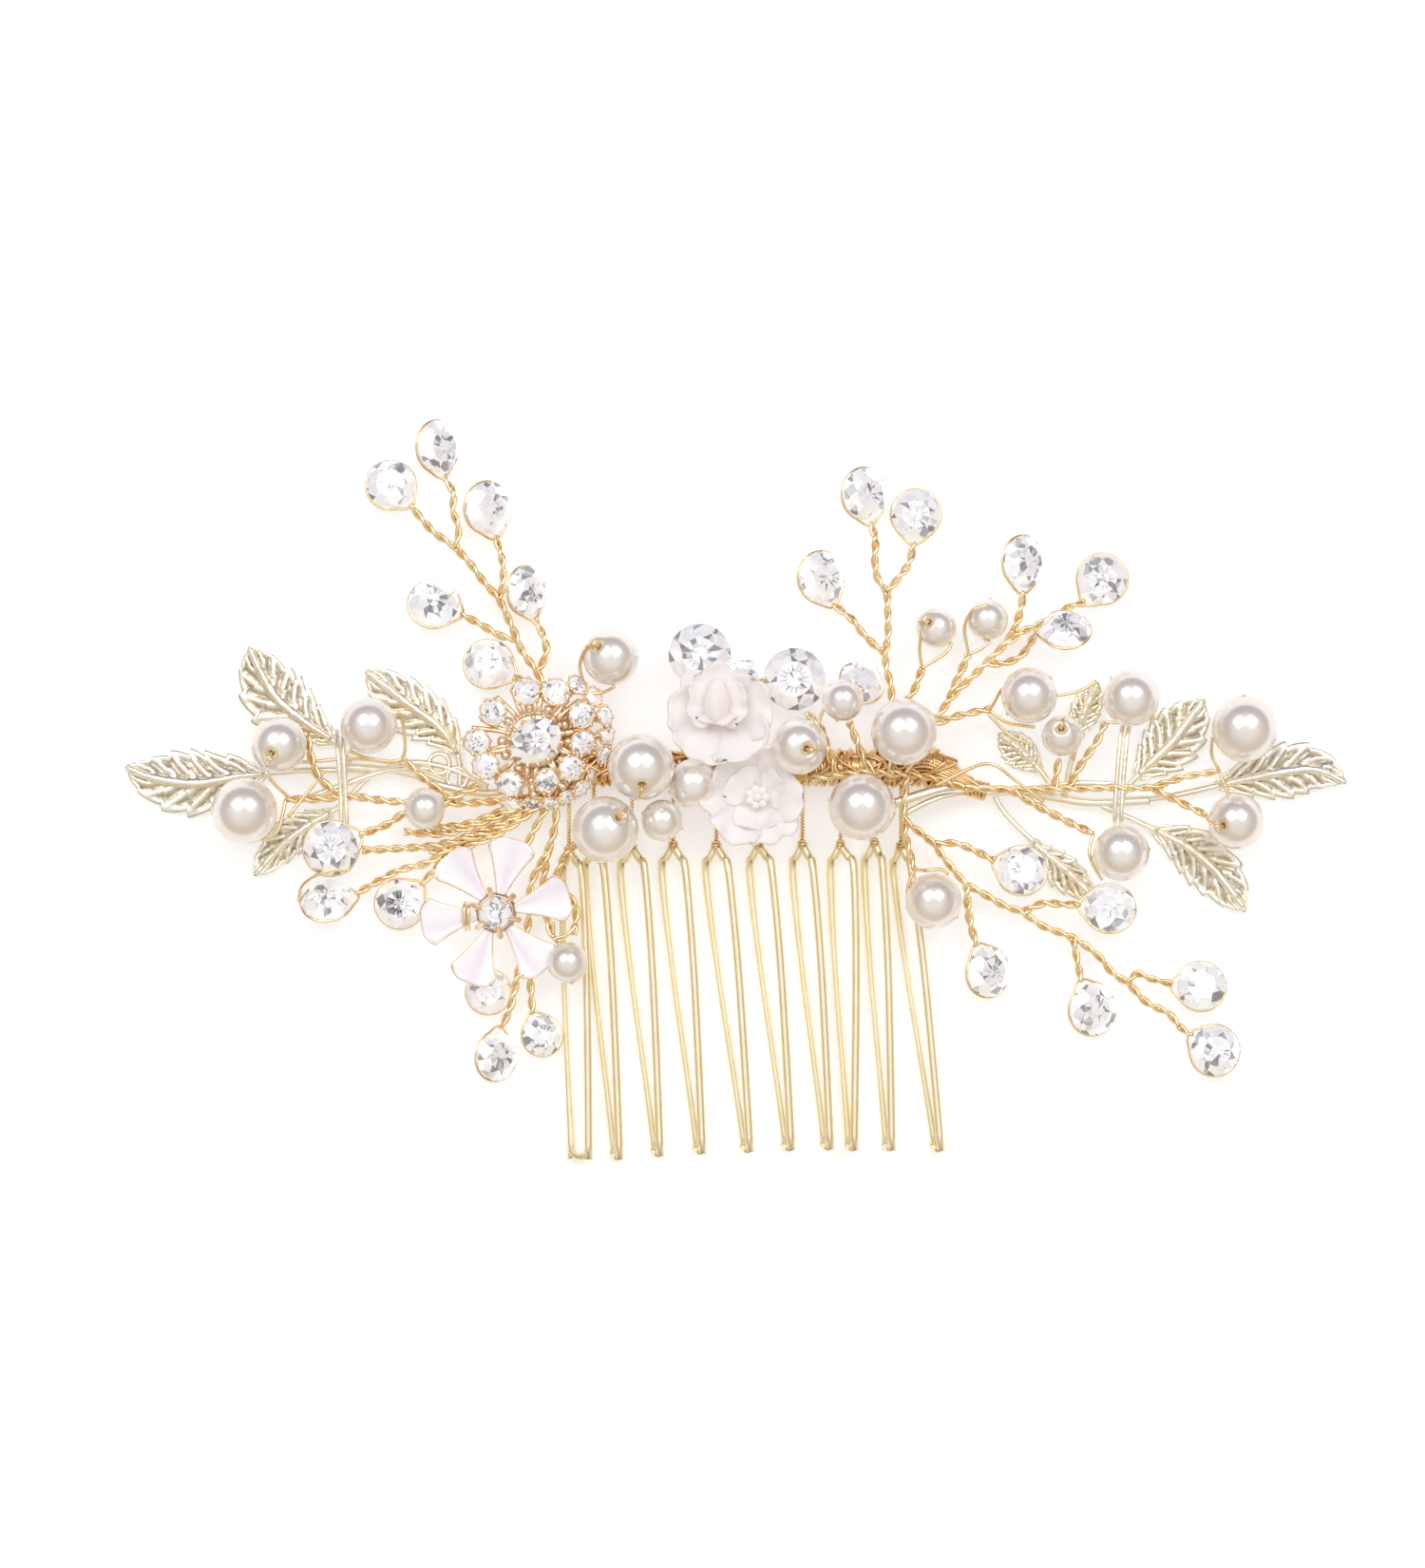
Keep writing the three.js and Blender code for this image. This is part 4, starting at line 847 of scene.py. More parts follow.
def build_pearls():
    """All the pearls, and the wire that shows in the mouths of their bores."""
    wires = Shape()
    for number in range(1, PEARLS + 1):
        place, radius = build_pearl(number)
        reach = radius + 0.15
        points = [place @ up(z) for z in (-reach, 0, reach)]
        if number in BORES:
            centre = place.to_translation()
            bore, leave = BORES[number]
            for step in (0.3, 0.6):
                away = Vector(bore).normalized() + Vector((*leave, 0)).normalized() * step
                points.append(centre + away.normalized() * (radius + 0.3))
        tube(wires, spline(points, 0.3), BORE_WIRE, 7)
    make_piece("bore_wires", wires, WIRE_GOLD)


# --- Clear stones -----------------------------------------------------------------------


def brilliant(radius, seed, radial=False):
    """A round brilliant with every facet its own tone of painted reflection. With radial, the painted
    reflections on the table show a star.
    """
    rng = random.Random(seed)
    shape = Shape()

    def ring(count, offset, reach, height):
        angles = [TURN * (k + offset) / count for k in range(count)]
        return [Vector((reach * math.cos(a), reach * math.sin(a), height)) * radius for a in angles]

    inner = ring(16, 0.5, TABLE * 0.45, CROWN)
    table = ring(16, 0, TABLE, CROWN)
    crown = ring(8, 0.5, 0.8, CROWN * 0.6)
    upper = ring(16, 0, 1, GIRDLE)
    lower = ring(16, 0, 1, -GIRDLE)
    waist = ring(8, 0.5, 0.5, -PAVILION * 0.45)
    points = [up(CROWN) * radius, *inner, *table, *crown, *upper, *lower, *waist]
    points.append(up(-PAVILION) * radius)
    i0, t0, c0, u0, l0, w0, tip = 1, 17, 33, 41, 57, 73, 81

    faces, tones = [], []
    darkest = -0.5 if radial else -0.2

    def face(corners, plain, starred=None):
        """A facet, and how likely its painted reflection is to be light in a plain stone and in a starred
        one.
        """
        faces.append(corners)
        dark = rng.random() > (starred if radial and starred else plain)
        tones.append(rng.uniform(darkest, 0.1 + darkest / 2) if dark else rng.uniform(0.1, 0.55))

    for k in range(16):
        n = (k + 1) % 16
        face((0, i0 + k, i0 + n), 0.66, (0.95, 0.7)[k % 2])
        face((i0 + k, t0 + n, i0 + n), 0.75, (0.2, 1.0)[k % 2])
        face((i0 + (k - 1) % 16, t0 + k, i0 + k), 0.62, 0.95)
        face((t0 + k, t0 + n, i0 + k), 0.66, 0.8)
        face((u0 + k, l0 + k, l0 + n, u0 + n), 0.85)
    for k in range(8):
        before = c0 + (k - 1) % 8
        face((t0 + 2 * k, t0 + 2 * k + 1, c0 + k), 0.7)
        face((t0 + 2 * k + 1, t0 + (2 * k + 2) % 16, c0 + k), 0.6)
        face((t0 + 2 * k, before, u0 + 2 * k, c0 + k), 0.78, 0.95)
        face((c0 + k, u0 + 2 * k, u0 + 2 * k + 1), 0.62, 0.35)
        face((c0 + k, u0 + 2 * k + 1, u0 + (2 * k + 2) % 16), 0.74, 1.0)
        face((l0 + 2 * k, w0 + (k - 1) % 8, tip, w0 + k), 0.6)
        face((l0 + 2 * k, w0 + k, l0 + 2 * k + 1), 0.7)
        face((l0 + 2 * k + 1, w0 + k, l0 + (2 * k + 2) % 16), 0.7)
    shape.add(points, faces, tones)
    return shape


def stone_piece(name, cut, matrix, nodes=()):
    """A cut stone as a piece of its own, put in its place by the matrix."""
    shape = Shape()
    shape.add_shape(cut, matrix)
    make_piece(name, shape, GLASS, nodes, smooth=False)


# Stones whose painted facet reflections show a star on the table.
STARRED = ("stone_middle_1", "stone_middle_2", "stone_left_low_1")
# Stones almost wholly behind others: x, y, height of the girdle, radius, and where they face.
TUCKED = [
    ("below_petals", (-29.9, -24.5, 2.4), 2.7, (0.1, 0.1, 1)),
    ("between_brilliants", (1.4, 14.2, 3), 2.5, (0.1, 0.85, 0.4)),
    ("behind_small_pearl", (15.2, 12.9, 2.9), 2.8, (0.3, 0.45, 0.8)),
]


def build_stones():
    nodes = [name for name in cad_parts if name.startswith("stone_")]
    for seed, node in enumerate(sorted(nodes)):
        radius, place = stone_place(node)
        cut = brilliant(radius, seed, node in STARRED)
        spin = Matrix.Rotation(0.7 * seed, 4, "Z")
        stone_piece(node.replace("stone_", "brilliant_"), cut, place @ spin, [node])
    loops = Shape()
    for seed, (name, centre, radius, normal) in enumerate(TUCKED):
        place = facing(Vector(centre), normal)
        stone_piece(f"brilliant_{name}", brilliant(radius, 60 + seed), place)
        girdle_loop(loops, radius, place)
    make_piece("tucked_loops", loops, WIRE_GOLD)


# --- Leaves -----------------------------------------------------------------------------

# Each leaf: its midrib from tip to base, the share of it that bears the blade, and the
# blade's half widths left and right of it.
LEFT_LEAVES = [
    ([(-73.7, 2.6), (-70, 1.2), (-65, 0.7), (-60, 1.5), (-52, 2.2), (-42, 2.2)], 0.58, 4.2, 4.2),
    ([(-58.8, 17), (-56, 11.5), (-52, 8), (-48.2, 5.4), (-46.5, 2.6)], 0.84, 4.0, 4.2),
    ([(-44.7, 14.2), (-40, 10.5), (-36, 7.5), (-33.6, 4), (-33.4, 0)], 0.85, 3.2, 3.7),
    ([(-58.1, -10.4), (-54.5, -6.5), (-51, -4), (-48, -2.2), (-44, 1.8)], 0.7, 2.6, 2.2),
]
RIGHT_LEAVES = [
    ([(73.6, 0.8), (70, 2.3), (66, 2), (60, 0.8), (53, -0.8), (45, -1.9)], 0.58, 3.4, 3.6),
    ([(61.5, -14.7), (58, -10), (54.5, -7), (50, -4.7), (44, -2)], 0.72, 3.5, 3.4),
    ([(56.5, 10.7), (53, 6), (50, 3), (48, 1), (46, -1.7)], 0.82, 3.6, 3.8),
    ([(43.7, 12.7), (42.2, 9.6), (41, 5.5), (39.6, -1)], 0.55, 2.0, 1.8),
    ([(43.4, -13.2), (40, -9.9), (36, -6.5), (32.5, -3), (31, -0.4)], 0.62, 2.7, 1.7),
    ([(31.8, 6.6), (34, 5), (36.4, 2.6), (38.6, -0.4)], 0.72, 1.9, 2.4),
]
# Smooth stalks: radius, and a route.
LEFT_STALKS = [
    (0.62, [(-48, 2.6), (-44, 2.4), (-39.5, 1.8), (-35.8, 0.4), (-30, -0.6), (-25.5, 0.6), (-21, 2)]),
    (0.45, [(-44, 1.8), (-41, 2.9), (-38, 3.1), (-34, 2.2), (-30, 0.2)]),
    (0.4, [(-52, -1.2, 1.6), (-47, 0.6, 1.8), (-42, 2.2, 1.6), (-37, 2.4, 1.4)]),
    (0.3, [(-48.2, 7.0, 1.6), (-48, 4.4, 3.4), (-47.7, 0, 3.5), (-47.6, -4.4, 3.4), (-47.7, -5, 2)]),
    (0.3, [(-47.4, 7.2, 1.6), (-47.3, 4.4, 3.4), (-47.1, 0, 3.5), (-46.9, -4.4, 3.4), (-47, -5, 2)]),
]
RIGHT_STALKS = [
    (0.62, [(50, -1.4), (43, -1.7), (38, -1), (33, -0.4), (29, 0.1, 1.4)]),
    (0.62, [(31, -0.6, 1.4), (28.5, 0.1, 2.4), (25, 0, 4.2), (22, -0.8, 4.8), (19, -1.8, 4.6)]),
    (0.4, [(31, -0.6, 1.4), (27, -0.6, 2.6), (23.6, -1.4, 3.8), (20.4, -3, 4)]),
    (0.4, [(46, 0.6, 1.5), (40, 0.6, 2), (34, -0.4, 2), (29.5, -0.6, 2.2)]),
    (0.3, [(47, 8.8, 2.2), (46.3, 6, 3.4), (45.8, 0, 3.6), (45.6, -3.6, 3.4), (45.7, -4.4, 2)]),
    (0.3, [(47.8, 8.8, 2.2), (47.1, 6, 3.4), (46.6, 0, 3.6), (46.4, -3.6, 3.4), (46.5, -4.4, 2)]),
]
EYES = [(-35.9, 3.0), (-33.7, 1.3)]
RIM_TEETH = 7
SIDE_VEINS = 8
STALK_HEIGHT = 1.0


def leaf(shape, rib, blade_share, half_left, half_right):
    """A stamped leaf: serrated rim, raised midrib and side veins, pressed hollows between."""
    line = spline([Vector((*point, 0)) for point in rib], 0.25)
    cut = round(blade_share * (len(line) - 1))
    midrib = line[: cut + 1]
    seed = rib[0][0]
    foot = [point + up(STALK_HEIGHT) for point in line[max(cut - 6, 0) :: 3]]
    tube(shape, foot, 0.42, 8)

    def rib_at(share):
        exact = share * (len(midrib) - 1)
        i = min(int(exact), len(midrib) - 2)
        direction = (midrib[i + 1] - midrib[i]).normalized()
        return midrib[i].lerp(midrib[i + 1], exact - i), direction

    def outline(share, u):
        body = math.sin(math.pi * max(0.0, (share - 0.03) / 0.97) ** 0.8)
        wave = 1 - 0.2 * ((share * RIM_TEETH) % 1) * min(1, 6 * share)
        half = half_left if u < 0 else half_right
        return half * max(body * wave, 0.07)

    def vein(u, v):
        phase = (v + 0.24 * abs(u)) * SIDE_VEINS
        return (0.5 + 0.5 * math.cos(TURN * phase)) ** 2

    def hollow(u, v):
        inside = min(1, max(0, (abs(u) - 0.1) / 0.1)) * min(1, max(0, (0.84 - abs(u)) / 0.08))
        ends = min(1, v / 0.1) * min(1, max(0, (0.95 - v) / 0.1))
        return inside * ends * (1 - vein(u, v))

    def place(u, v):
        centre, direction = rib_at(v)
        side = direction.cross(up(1))
        width = outline(v, u)
        dome = 0.45 * (1 - u * u) * min(1, width / 2)
        ridge = 0.4 * math.exp(-((u * width / 0.32) ** 2))
        pressed = -0.34 * hollow(u, v)
        curl = 0.5 * max(0, 1 - v / 0.35) ** 2
        crumple = 0.14 * noise.noise(Vector((u * 3, v * 14, seed)))
        height = LEAF_BACK + SHEET / 2 + dome + ridge + pressed + curl + crumple
        return centre + side * (u * width) + up(height)

    # Painted shade mask: the pressed hollows and the rim, which the leaf finish darkens.
    def depth(u, v):
        rim = max(0, (abs(u) - 0.92) / 0.08)
        return min(1, 1.2 * hollow(u, v) + 0.75 * rim)

    sheet(shape, place, 30, 105, SHEET, depth)


def build_leaves(name, leaves, stalks, eyes, node):
    shape = Shape()
    for rib, blade_share, half_left, half_right in leaves:
        leaf(shape, rib, blade_share, half_left, half_right)
    for radius, points in stalks:
        flat = [(x, y, height[0] if height else STALK_HEIGHT) for x, y, *height in points]
        tube(shape, spline([Vector(point) for point in flat], 0.5), radius, 10)
    for x, y in eyes:
        ring = []
        for k in range(20):
            angle = TURN * k / 20
            ring.append(Vector((x + 1.25 * math.cos(angle), y + 1.25 * math.sin(angle), 1.1)))
        tube(shape, ring, 0.33, 8, closed=True)
    make_piece(name, shape, LEAF_GOLD, [node])


# --- White flowers ----------------------------------------------------------------------


def clay_petal(shape, centre, degrees, length, width, rise, seed):
    """A broad petal that cups upwards and ruffles along its edge."""
    out = heading(degrees)
    side = Vector((-out.y, out.x, 0))

    def place(u, v):
        reach = length * v
        spread = width * math.sin(math.pi * (0.1 + 0.6 * v)) ** 0.85
        edge = v**3
        ruffle = noise.noise(Vector((u * 1.25, v, seed))) * edge
        reach *= 1 - 0.2 * u * u * v + 0.2 * edge * noise.noise(Vector((u * 1.5, seed, 0)))
        lift = rise * v**1.6 + 0.35 * (u * u) * (1 - v) + 1.5 * ruffle
        crease = -0.25 * math.exp(-((u / 0.13) ** 2)) * (1 - v)
        return centre + out * reach + side * (u * spread) + up(lift + crease)

    # Painted shade mask: strongest at the petal's root and along its middle crease.
    def depth(u, v):
        return 0.7 * max(0, 1 - v / 0.45) ** 1.5 + 0.35 * math.exp(-((u / 0.12) ** 2)) * (1 - v)

    sheet(shape, place, 20, 18, 0.36, depth)


def bud(shape, centre, width, height, lift):
    """A closed egg of clay with a rolled seam down its front."""
    rings, around = 14, 24
    points, faces, depths = [], [], []
    for i in range(rings + 1):
        polar = math.pi * i / rings
        for k in range(around):
            angle = TURN * k / around
            swell = 1 - 0.13 * math.exp(-(((angle - 1.2 - 0.5 * math.cos(polar)) / 0.25) ** 2))
            x = width * math.sin(polar) * math.cos(angle) * swell
            z = lift * math.sin(polar) * math.sin(angle) * swell
            taper = 1 - 0.28 * max(0, math.cos(polar))
            points.append(centre + Vector((x * taper, height * math.cos(polar), z)))
            # Painted shade mask along the rolled seam.
            depths.append(1.5 * (1 - swell))
    for i in range(rings):
        for k in range(around):
            n = (k + 1) % around
            a, b = i * around, (i + 1) * around
            faces.append((a + k, a + n, b + n, b + k))
    shape.add(points, faces, 0.5, depths)


def clay_seat(node):
    """Where a clay flower's petals start, low in the middle of its solid."""
    low, high = table_box(node)
    return Vector(((low.x + high.x) / 2, (low.y + high.y) / 2, low.z + 0.3))


# Outer and inner petals of the rose and the blossom: direction in degrees, and length.
ROSE_OUTER = [(80, 5.7), (12, 6.3), (-52, 6.1), (-118, 6.2), (160, 6.2)]
ROSE_INNER = [(-6, 3.5), (186, 3.5), (268, 2.5)]
BLOSSOM_OUTER = [(70, 6.0), (6, 5.9), (-62, 6.1), (-128, 6.2), (178, 6.3), (126, 6.0)]
BLOSSOM_INNER = [(30, 3.9), (140, 3.9), (268, 3.9)]
STAMENS = 8


def build_rose():
    centre = clay_seat("white_rose")
    shape = Shape()
    for k, (degrees, length) in enumerate(ROSE_OUTER):
        clay_petal(shape, centre, degrees, length, 4.1, 2.0, k * 3.7)
    heart = centre + Vector((-0.3, 1.3, 0.7))
    for k, (degrees, length) in enumerate(ROSE_INNER):
        clay_petal(shape, heart, degrees, length, 2.9, 2.1, 23 + k)
    bud(shape, heart + Vector((0, 0.3, 1.9)), 1.55, 2.7, 1.6)
    make_piece("rose_petals", shape, CLAY, ["white_rose"])


def build_blossom():
    centre = clay_seat("white_blossom")
    shape = Shape()
    for k, (degrees, length) in enumerate(BLOSSOM_OUTER):
        clay_petal(shape, centre, degrees, length, 3.5, 2.0, 40 + k * 2.3)
    heart = centre + Vector((0.2, 0, 0.3))
    for k, (degrees, length) in enumerate(BLOSSOM_INNER):
        clay_petal(shape, heart, degrees, length, 2.9, 1.0, 61 + k)
    stamen = [(0.0, -0.9), (0.4, -0.6), (0.55, 0.0), (0.42, 0.42), (0.0, 0.6)]
    in_ring = STAMENS - 1
    for k in range(STAMENS):
        angle = TURN * k / in_ring
        cosine, sine = math.cos(angle), math.sin(angle)
        reach = 0.95 if k < in_ring else 0
        spot = centre + Vector((0.3 + reach * cosine, reach * sine, 1.9 - 0.4 * reach))
        lathe(shape, stamen, 12, facing(spot, (0.5 * cosine, 0.5 * sine, 1)))
    make_piece("blossom_petals", shape, CLAY, ["white_blossom"])


# --- Enamel flower ----------------------------------------------------------------------

PETAL_ANGLES = (13, 76, 131, 188, 249, 311)
PETAL_ROOT, PETAL_END = 2.3, 9.0  # distances from the middle
ENAMEL_HEIGHT = 5.3
# The plate and cup under the round stone: radius and height from the axis outwards and back.
SETTING = [
    (0, 0), (2.3, 0), (2.5, 0.35), (2.1, 0.8), (2.2, 1.5), (1.95, 1.5), (1.8, 0.8), (0, 0.8),
]
CLAW_TURN = 31  # degrees from a petal's middle to the claw beside it
CLAW = [(2.9, -0.3), (2.3, 0.4), (1.75, 1.5), (1.45, 1.65)]  # distance out, height


def petal_half(v):
    """Half width of an enamel petal from its root (0) to its end (1)."""
    spread = 0.45 + 2.6 * v**1.1
    corner = 1 - 0.12 * max(0.0, (v - 0.8) / 0.2) ** 2
    return spread * corner


def enamel_petal(petals, rims, centre, number):
    """A fluted petal, and the gold rim round its two sides and its end."""
    out = heading(PETAL_ANGLES[number])
    side = Vector((-out.y, out.x, 0))

    def place(u, v):
        reach = PETAL_ROOT + (PETAL_END - PETAL_ROOT) * v - 1.2 * u**4 * v**4
        flute = 0.45 * u * u * v
        lift = 0.5 * v * v - 0.2 * v + 0.12 * math.sin(number * 2.1)
        return centre + out * reach + side * (u * petal_half(v)) + up(lift + flute)

    def depth(u, v):
        # Painted sheen and shade mask: one lilac band along the petal, fading towards its end.
        painted_sheen_band = math.exp(-(((u - 0.5 * math.cos(number * 1.9)) / 0.5) ** 2))
        return 0.75 * painted_sheen_band * (1 - 0.4 * v)

    sheet(petals, place, 16, 34, 0.5, depth)
    edge = [place(-1, k / 20) for k in range(21)]
    edge += [place(-1 + k / 5, 1) for k in range(1, 10)]
    edge += [place(1, 1 - k / 20) for k in range(21)]
    tube(rims, spline(edge, 0.3), 0.13, 6)


def build_enamel_flower():
    centre = middle("enamel_stone") - SHIFT
    centre.z = ENAMEL_HEIGHT
    petals, gold = Shape(), Shape()
    for number in range(len(PETAL_ANGLES)):
        enamel_petal(petals, gold, centre, number)
    lathe(gold, SETTING, 28, facing(centre + up(-0.5), (0, 0, 1)))
    for degrees in PETAL_ANGLES:
        direction = heading(degrees + CLAW_TURN)
        claw = [centre + direction * reach + up(height) for reach, height in CLAW]
        tube(gold, spline(claw, 0.25), lambda share: 0.42 - 0.18 * share, 7)
    make_piece("enamel_petals", petals, ENAMEL, ["enamel_flower"])
    make_piece("enamel_setting", gold, ROSE_GOLD)
    place = Matrix.Translation(centre + up(1.25))
    stone_piece("enamel_brilliant", brilliant(1.95, 90), place, ["enamel_stone"])


# --- Cluster flower ---------------------------------------------------------------------

# Stones round the oval: the direction of each in degrees and its distance.
CLUSTER_RING = [
    (101, 5.9), (67, 6.2), (28, 6.3), (-3, 5.7), (-38, 5.5), (-73, 5.2), (-119, 6.0),
    (208, 6.6), (182, 6.9), (146, 6.1),
]
CLUSTER_SKIRT = [
    (52, 8.1), (35, 8.6), (18, 8.8), (2, 8.7), (-14, 8.6), (-30, 8.3), (-46, 8.2), (-61, 8.1),
    (-76, 8.0), (-92, 8.1), (-108, 8.3),
]
CLUSTER_TILT = (0.12, -0.16, 1)
CLUSTER_HEIGHT = 6.2


# Profiles of the base and of the beads round the oval.
BASE = [(0, -0.9), (3.4, -0.9), (3.6, -0.3), (3.3, 0.2), (3.2, 0.9), (2.5, 0.85), (0, 0.7)]
OVAL_BEAD = [(0, -0.34), (0.3, -0.15), (0.34, 0.1), (0.2, 0.3), (0, 0.36)]
OVAL_BEADS = 16
RING_CUP, SKIRT_CUP = 1.5, 1.15  # radii of the small stones


def bead(width):
    """The profile of an openwork bead."""
    return [(0, -0.5), (0.5, -0.2), (width, 0.1), (0.3, 0.4), (0, 0.5)]


def small_setting(gold, stones, seat, radius, seed):
    """A cup with beads round its rim, and the stone in it."""
    cup = [(0, -1.1), (0.6, -1.1), (0.8, -0.4), (1.12, 0.1), (1.12, 0.32), (0.96, 0.28), (0.9, 0)]
    lathe(gold, [(radius * share, height) for share, height in cup], 16, seat)
    reach = radius * 1.1
    for k in range(9):
        angle = TURN * k / 9 + seed
        spot = seat @ Vector((reach * math.cos(angle), reach * math.sin(angle), 0.3))
        size = 0.2 if k % 2 else 0.28
        grain = [(0, -size), (size * 0.8, -size * 0.5), (size, 0), (size * 0.7, size * 0.6), (0, size)]
        lathe(gold, grain, 7, Matrix.Translation(spot))
    cut = brilliant(radius * 0.98, 100 + int(seed * 10))
    stones.add_shape(cut, seat @ Matrix.Translation((0, 0, 0.25)))


def cluster_ring_cup(gold, stones, flower, k):
    """One of the cups next to the oval, its two arms and the bead between it and the oval."""
    degrees, reach = CLUSTER_RING[k]
    out = heading(degrees)
    tangent = Vector((-out.y, out.x, 0))
    spot = out * reach + up(0.25 * math.sin(k * 2.3))
    seat = flower @ facing(spot, out * 0.3 + tangent * 0.2 * math.sin(k * 1.7) + up(1))
    small_setting(gold, stones, seat, RING_CUP, k * 0.63)
    for side in (-1, 1):
        route = [(2.9, 0.5, -0.3), (3.8, 1.1, 0.2), (4.8, 1.3, -0.1), (reach + 0.6, 1.6, -0.7)]
        arm = [out * away + tangent * side * aside + up(height) for away, aside, height in route]
        tube(gold, [flower @ point for point in spline(arm, 0.4)], 0.34, 6)
    lathe(gold, bead(0.62), 9, flower @ Matrix.Translation(out * 4.0 + up(0.25)))


def cluster_skirt_cup(gold, stones, flower, k):
    """One of the outer, lower cups, its arm and the beads beside the arm."""
    degrees, reach = CLUSTER_SKIRT[k]
    out = heading(degrees)
    drop = -1.0 - 0.5 * (k % 2)
    seat = flower @ facing(out * reach + up(drop), out * 1.1 + up(1))
    small_setting(gold, stones, seat, SKIRT_CUP, 7 + k * 0.57)
    route = [(3.5, -0.9), (5.6, -0.7), (reach, drop - 0.6)]
    arm = [out * away + up(height) for away, height in route]
    tube(gold, [flower @ point for point in spline(arm, 0.5)], 0.4, 6)
    for share in (0.25, 0.5, 0.75):
        turned = Matrix.Rotation(0.14 * (share - 0.5), 4, "Z")
        spot = flower @ turned @ (out * (4.2 + 3.4 * share) + up(-0.5))
        lathe(gold, bead(0.55), 8, Matrix.Translation(spot))


def build_cluster():
    centre = middle("cluster_stone") - SHIFT
    centre.z = CLUSTER_HEIGHT
    flower = facing(centre, CLUSTER_TILT)
    gold, stones = Shape(), Shape()
    lathe(gold, BASE, 32, flower)
    oval_turn = Matrix.Rotation(0.6, 4, "Z")
    for k in range(OVAL_BEADS):
        angle = TURN * k / OVAL_BEADS
        reach = oval_turn @ Vector((3.5 * math.cos(angle), 2.75 * math.sin(angle), 0.95))
        lathe(gold, OVAL_BEAD, 8, flower @ Matrix.Translation(reach))
    for k in range(len(CLUSTER_RING)):
        cluster_ring_cup(gold, stones, flower, k)
    for k in range(len(CLUSTER_SKIRT)):
        cluster_skirt_cup(gold, stones, flower, k)
    make_piece("cluster_setting", gold, ROSE_GOLD, ["cluster_flower"])
    make_piece("cluster_small_stones", stones, GLASS, smooth=False)
    stretch = Matrix.Diagonal((1.16, 0.86, 1, 1))
    place = flower @ Matrix.Translation((0, 0, 0.9)) @ oval_turn @ stretch
    stone_piece("cluster_oval", brilliant(2.85, 77, radial=True), place, ["cluster_stone"])


# --- Flower stems -----------------------------------------------------------------------

# From the underside of each flower down to the spine or the gathered stems.
FLOWER_STEMS = [
    [(-2.4, 9, 8.6), (-2.4, 8.2, 6.4), (-2.2, 6, 4.8), (-1.6, 3.4, 4.6)],
    [(1.9, -1, 6), (1.9, -0.4, 4.8), (2, 1.2, 4.4)],
    [(-24.2, 5.9, 5), (-23.6, 5, 3.6), (-21.6, 3.2, 3), (-19.6, 2.4, 2.6)],
    [(-28.9, -14.9, 4.6), (-28, -12.6, 3.2), (-25.4, -7, 3), (-22, -0.6, ON_LEAF)],
]


def build_flower_stems():
    shape = Shape()
    for points in FLOWER_STEMS:
        twisted_pair(shape, vectors(points))
    make_piece("flower_stems", shape, WIRE_GOLD)


# --- Studio -----------------------------------------------------------------------------

PHOTO_HEIGHT = 188.6  # height of the framed area at the comb, in mm
AIM = Vector((-2.86, 0.57, 5.0))
DISTANCE = 900.0
FLOOR_GAP = 0.0004  # metres, which keeps the comb's lowest wires clear of the floor


def build_floor():
    mesh = bpy.data.meshes.new("floor")
    half = 3.0
    corners = [(-half, -half, 0), (half, -half, 0), (half, half, 0), (-half, half, 0)]
    mesh.from_pydata(corners, [], [(0, 1, 2, 3)])
    floor = bpy.data.objects.new("floor", mesh)
    bpy.context.scene.collection.objects.link(floor)
    floor.location.z = cad_box[0].z - FLOOR_GAP
    finish = Finish("pale_floor", Roughness=0.85)
    finish.shader.inputs["Base Color"].default_value = (0.7, 0.7, 0.7, 1)
    finish.shader.inputs["Emission Color"].default_value = (1, 1, 1, 1)
    finish.shader.inputs["Emission Strength"].default_value = 0.46
    mesh.materials.append(finish.material)


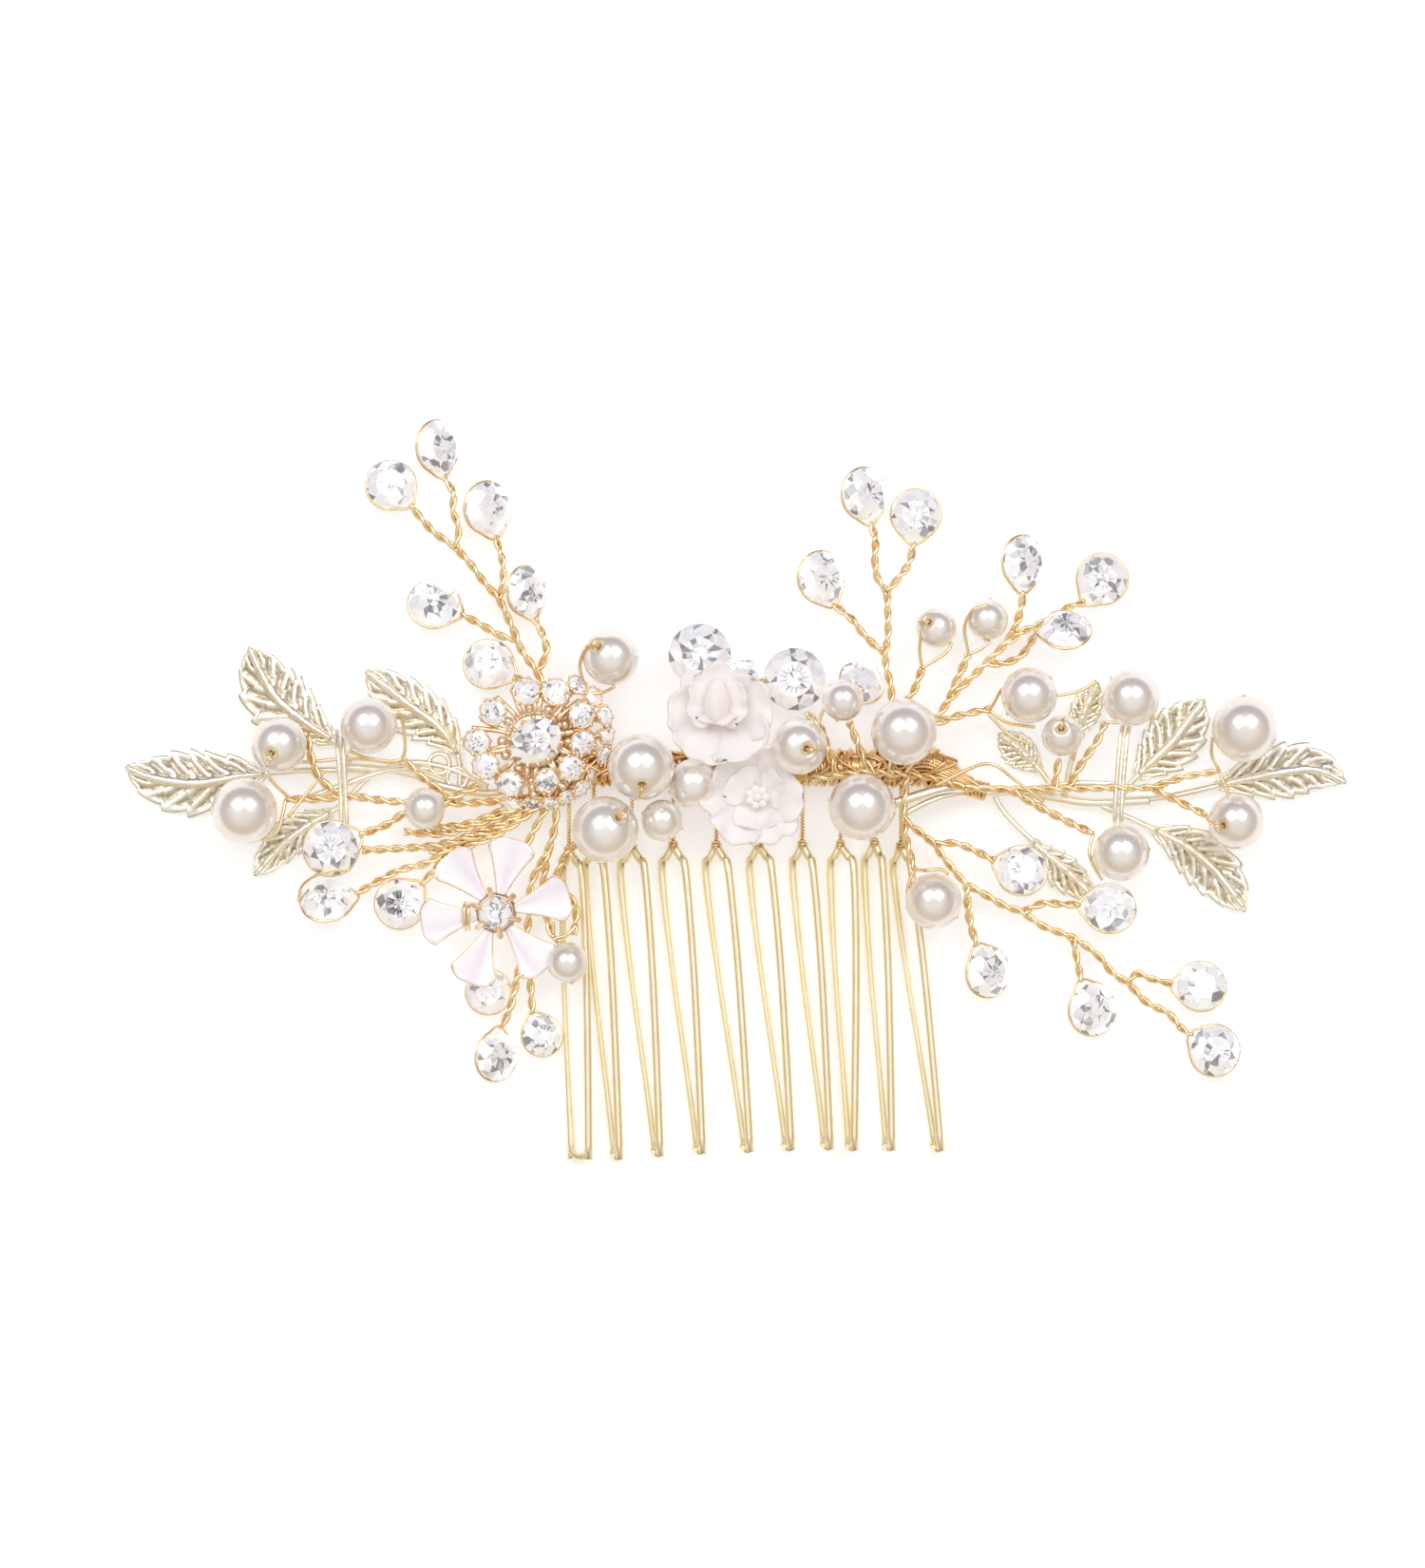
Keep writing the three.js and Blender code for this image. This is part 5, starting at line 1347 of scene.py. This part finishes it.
def build_world():
    """A soft room: bright overhead, dim at the sides, warmer and lighter towards -Y."""
    world = bpy.data.worlds.new("studio")
    bpy.context.scene.world = world
    world.use_nodes = True
    tree = world.node_tree
    place = tree.nodes.new("ShaderNodeTexCoord")
    axes = tree.nodes.new("ShaderNodeSeparateXYZ")
    tree.links.new(place.outputs["Generated"], axes.inputs["Vector"])

    def share_of(axis, start, end):
        found = tree.nodes.new("ShaderNodeMapRange")
        found.inputs["From Min"].default_value = start
        found.inputs["From Max"].default_value = end
        tree.links.new(axes.outputs[axis], found.inputs["Value"])
        return found.outputs["Result"]

    walls = tree.nodes.new("ShaderNodeValToRGB")
    walls.color_ramp.elements[0].color = (0.56, 0.46, 0.3, 1)
    walls.color_ramp.elements[1].color = (0.2, 0.17, 0.22, 1)
    tree.links.new(share_of("Y", -0.9, 0.9), walls.inputs["Fac"])
    overhead = share_of("Z", 0.45, 0.85)
    room = mix_colours(tree, overhead, walls.outputs["Color"], (0.8, 0.8, 0.81))
    tree.links.new(room, tree.nodes["Background"].inputs["Color"])


def build_lights():
    """Two large softboxes side by side, which show as a double highlight on every pearl."""
    for name, side in (("left_softbox", -1), ("right_softbox", 1)):
        light = bpy.data.lights.new(name, "AREA")
        light.size = 0.56
        light.energy = 2.0
        lamp = bpy.data.objects.new(name, light)
        lamp.location = (0.34 * side, 0.4, 0.8)
        lamp.rotation_euler = lamp.location.to_track_quat("Z", "Y").to_euler()
        bpy.context.scene.collection.objects.link(lamp)


def build_camera():
    data = bpy.data.cameras.new("camera")
    data.sensor_width = 36
    data.lens = data.sensor_width * DISTANCE / PHOTO_HEIGHT
    data.clip_end = 10
    camera = bpy.data.objects.new("camera", data)
    camera.location = (AIM + SHIFT + Vector((0, 0, DISTANCE))) * MM
    bpy.context.scene.collection.objects.link(camera)
    bpy.context.scene.camera = camera
    bpy.context.scene.view_settings.view_transform = "Standard"


build_camera()
build_world()
build_lights()
build_floor()
build_comb()
build_winding()
build_spray("spray_left", LEFT_STEMS, LEFT_LOOPS, "spray_wire_left")
build_spray("spray_right", RIGHT_STEMS, RIGHT_LOOPS, "spray_wire_right")
build_pearls()
build_stones()
build_leaves("leaves_left", LEFT_LEAVES, LEFT_STALKS, EYES, "leaf_branch_left")
build_leaves("leaves_right", RIGHT_LEAVES, RIGHT_STALKS, [], "leaf_branch_right")
build_rose()
build_blossom()
build_enamel_flower()
build_cluster()
build_flower_stems()
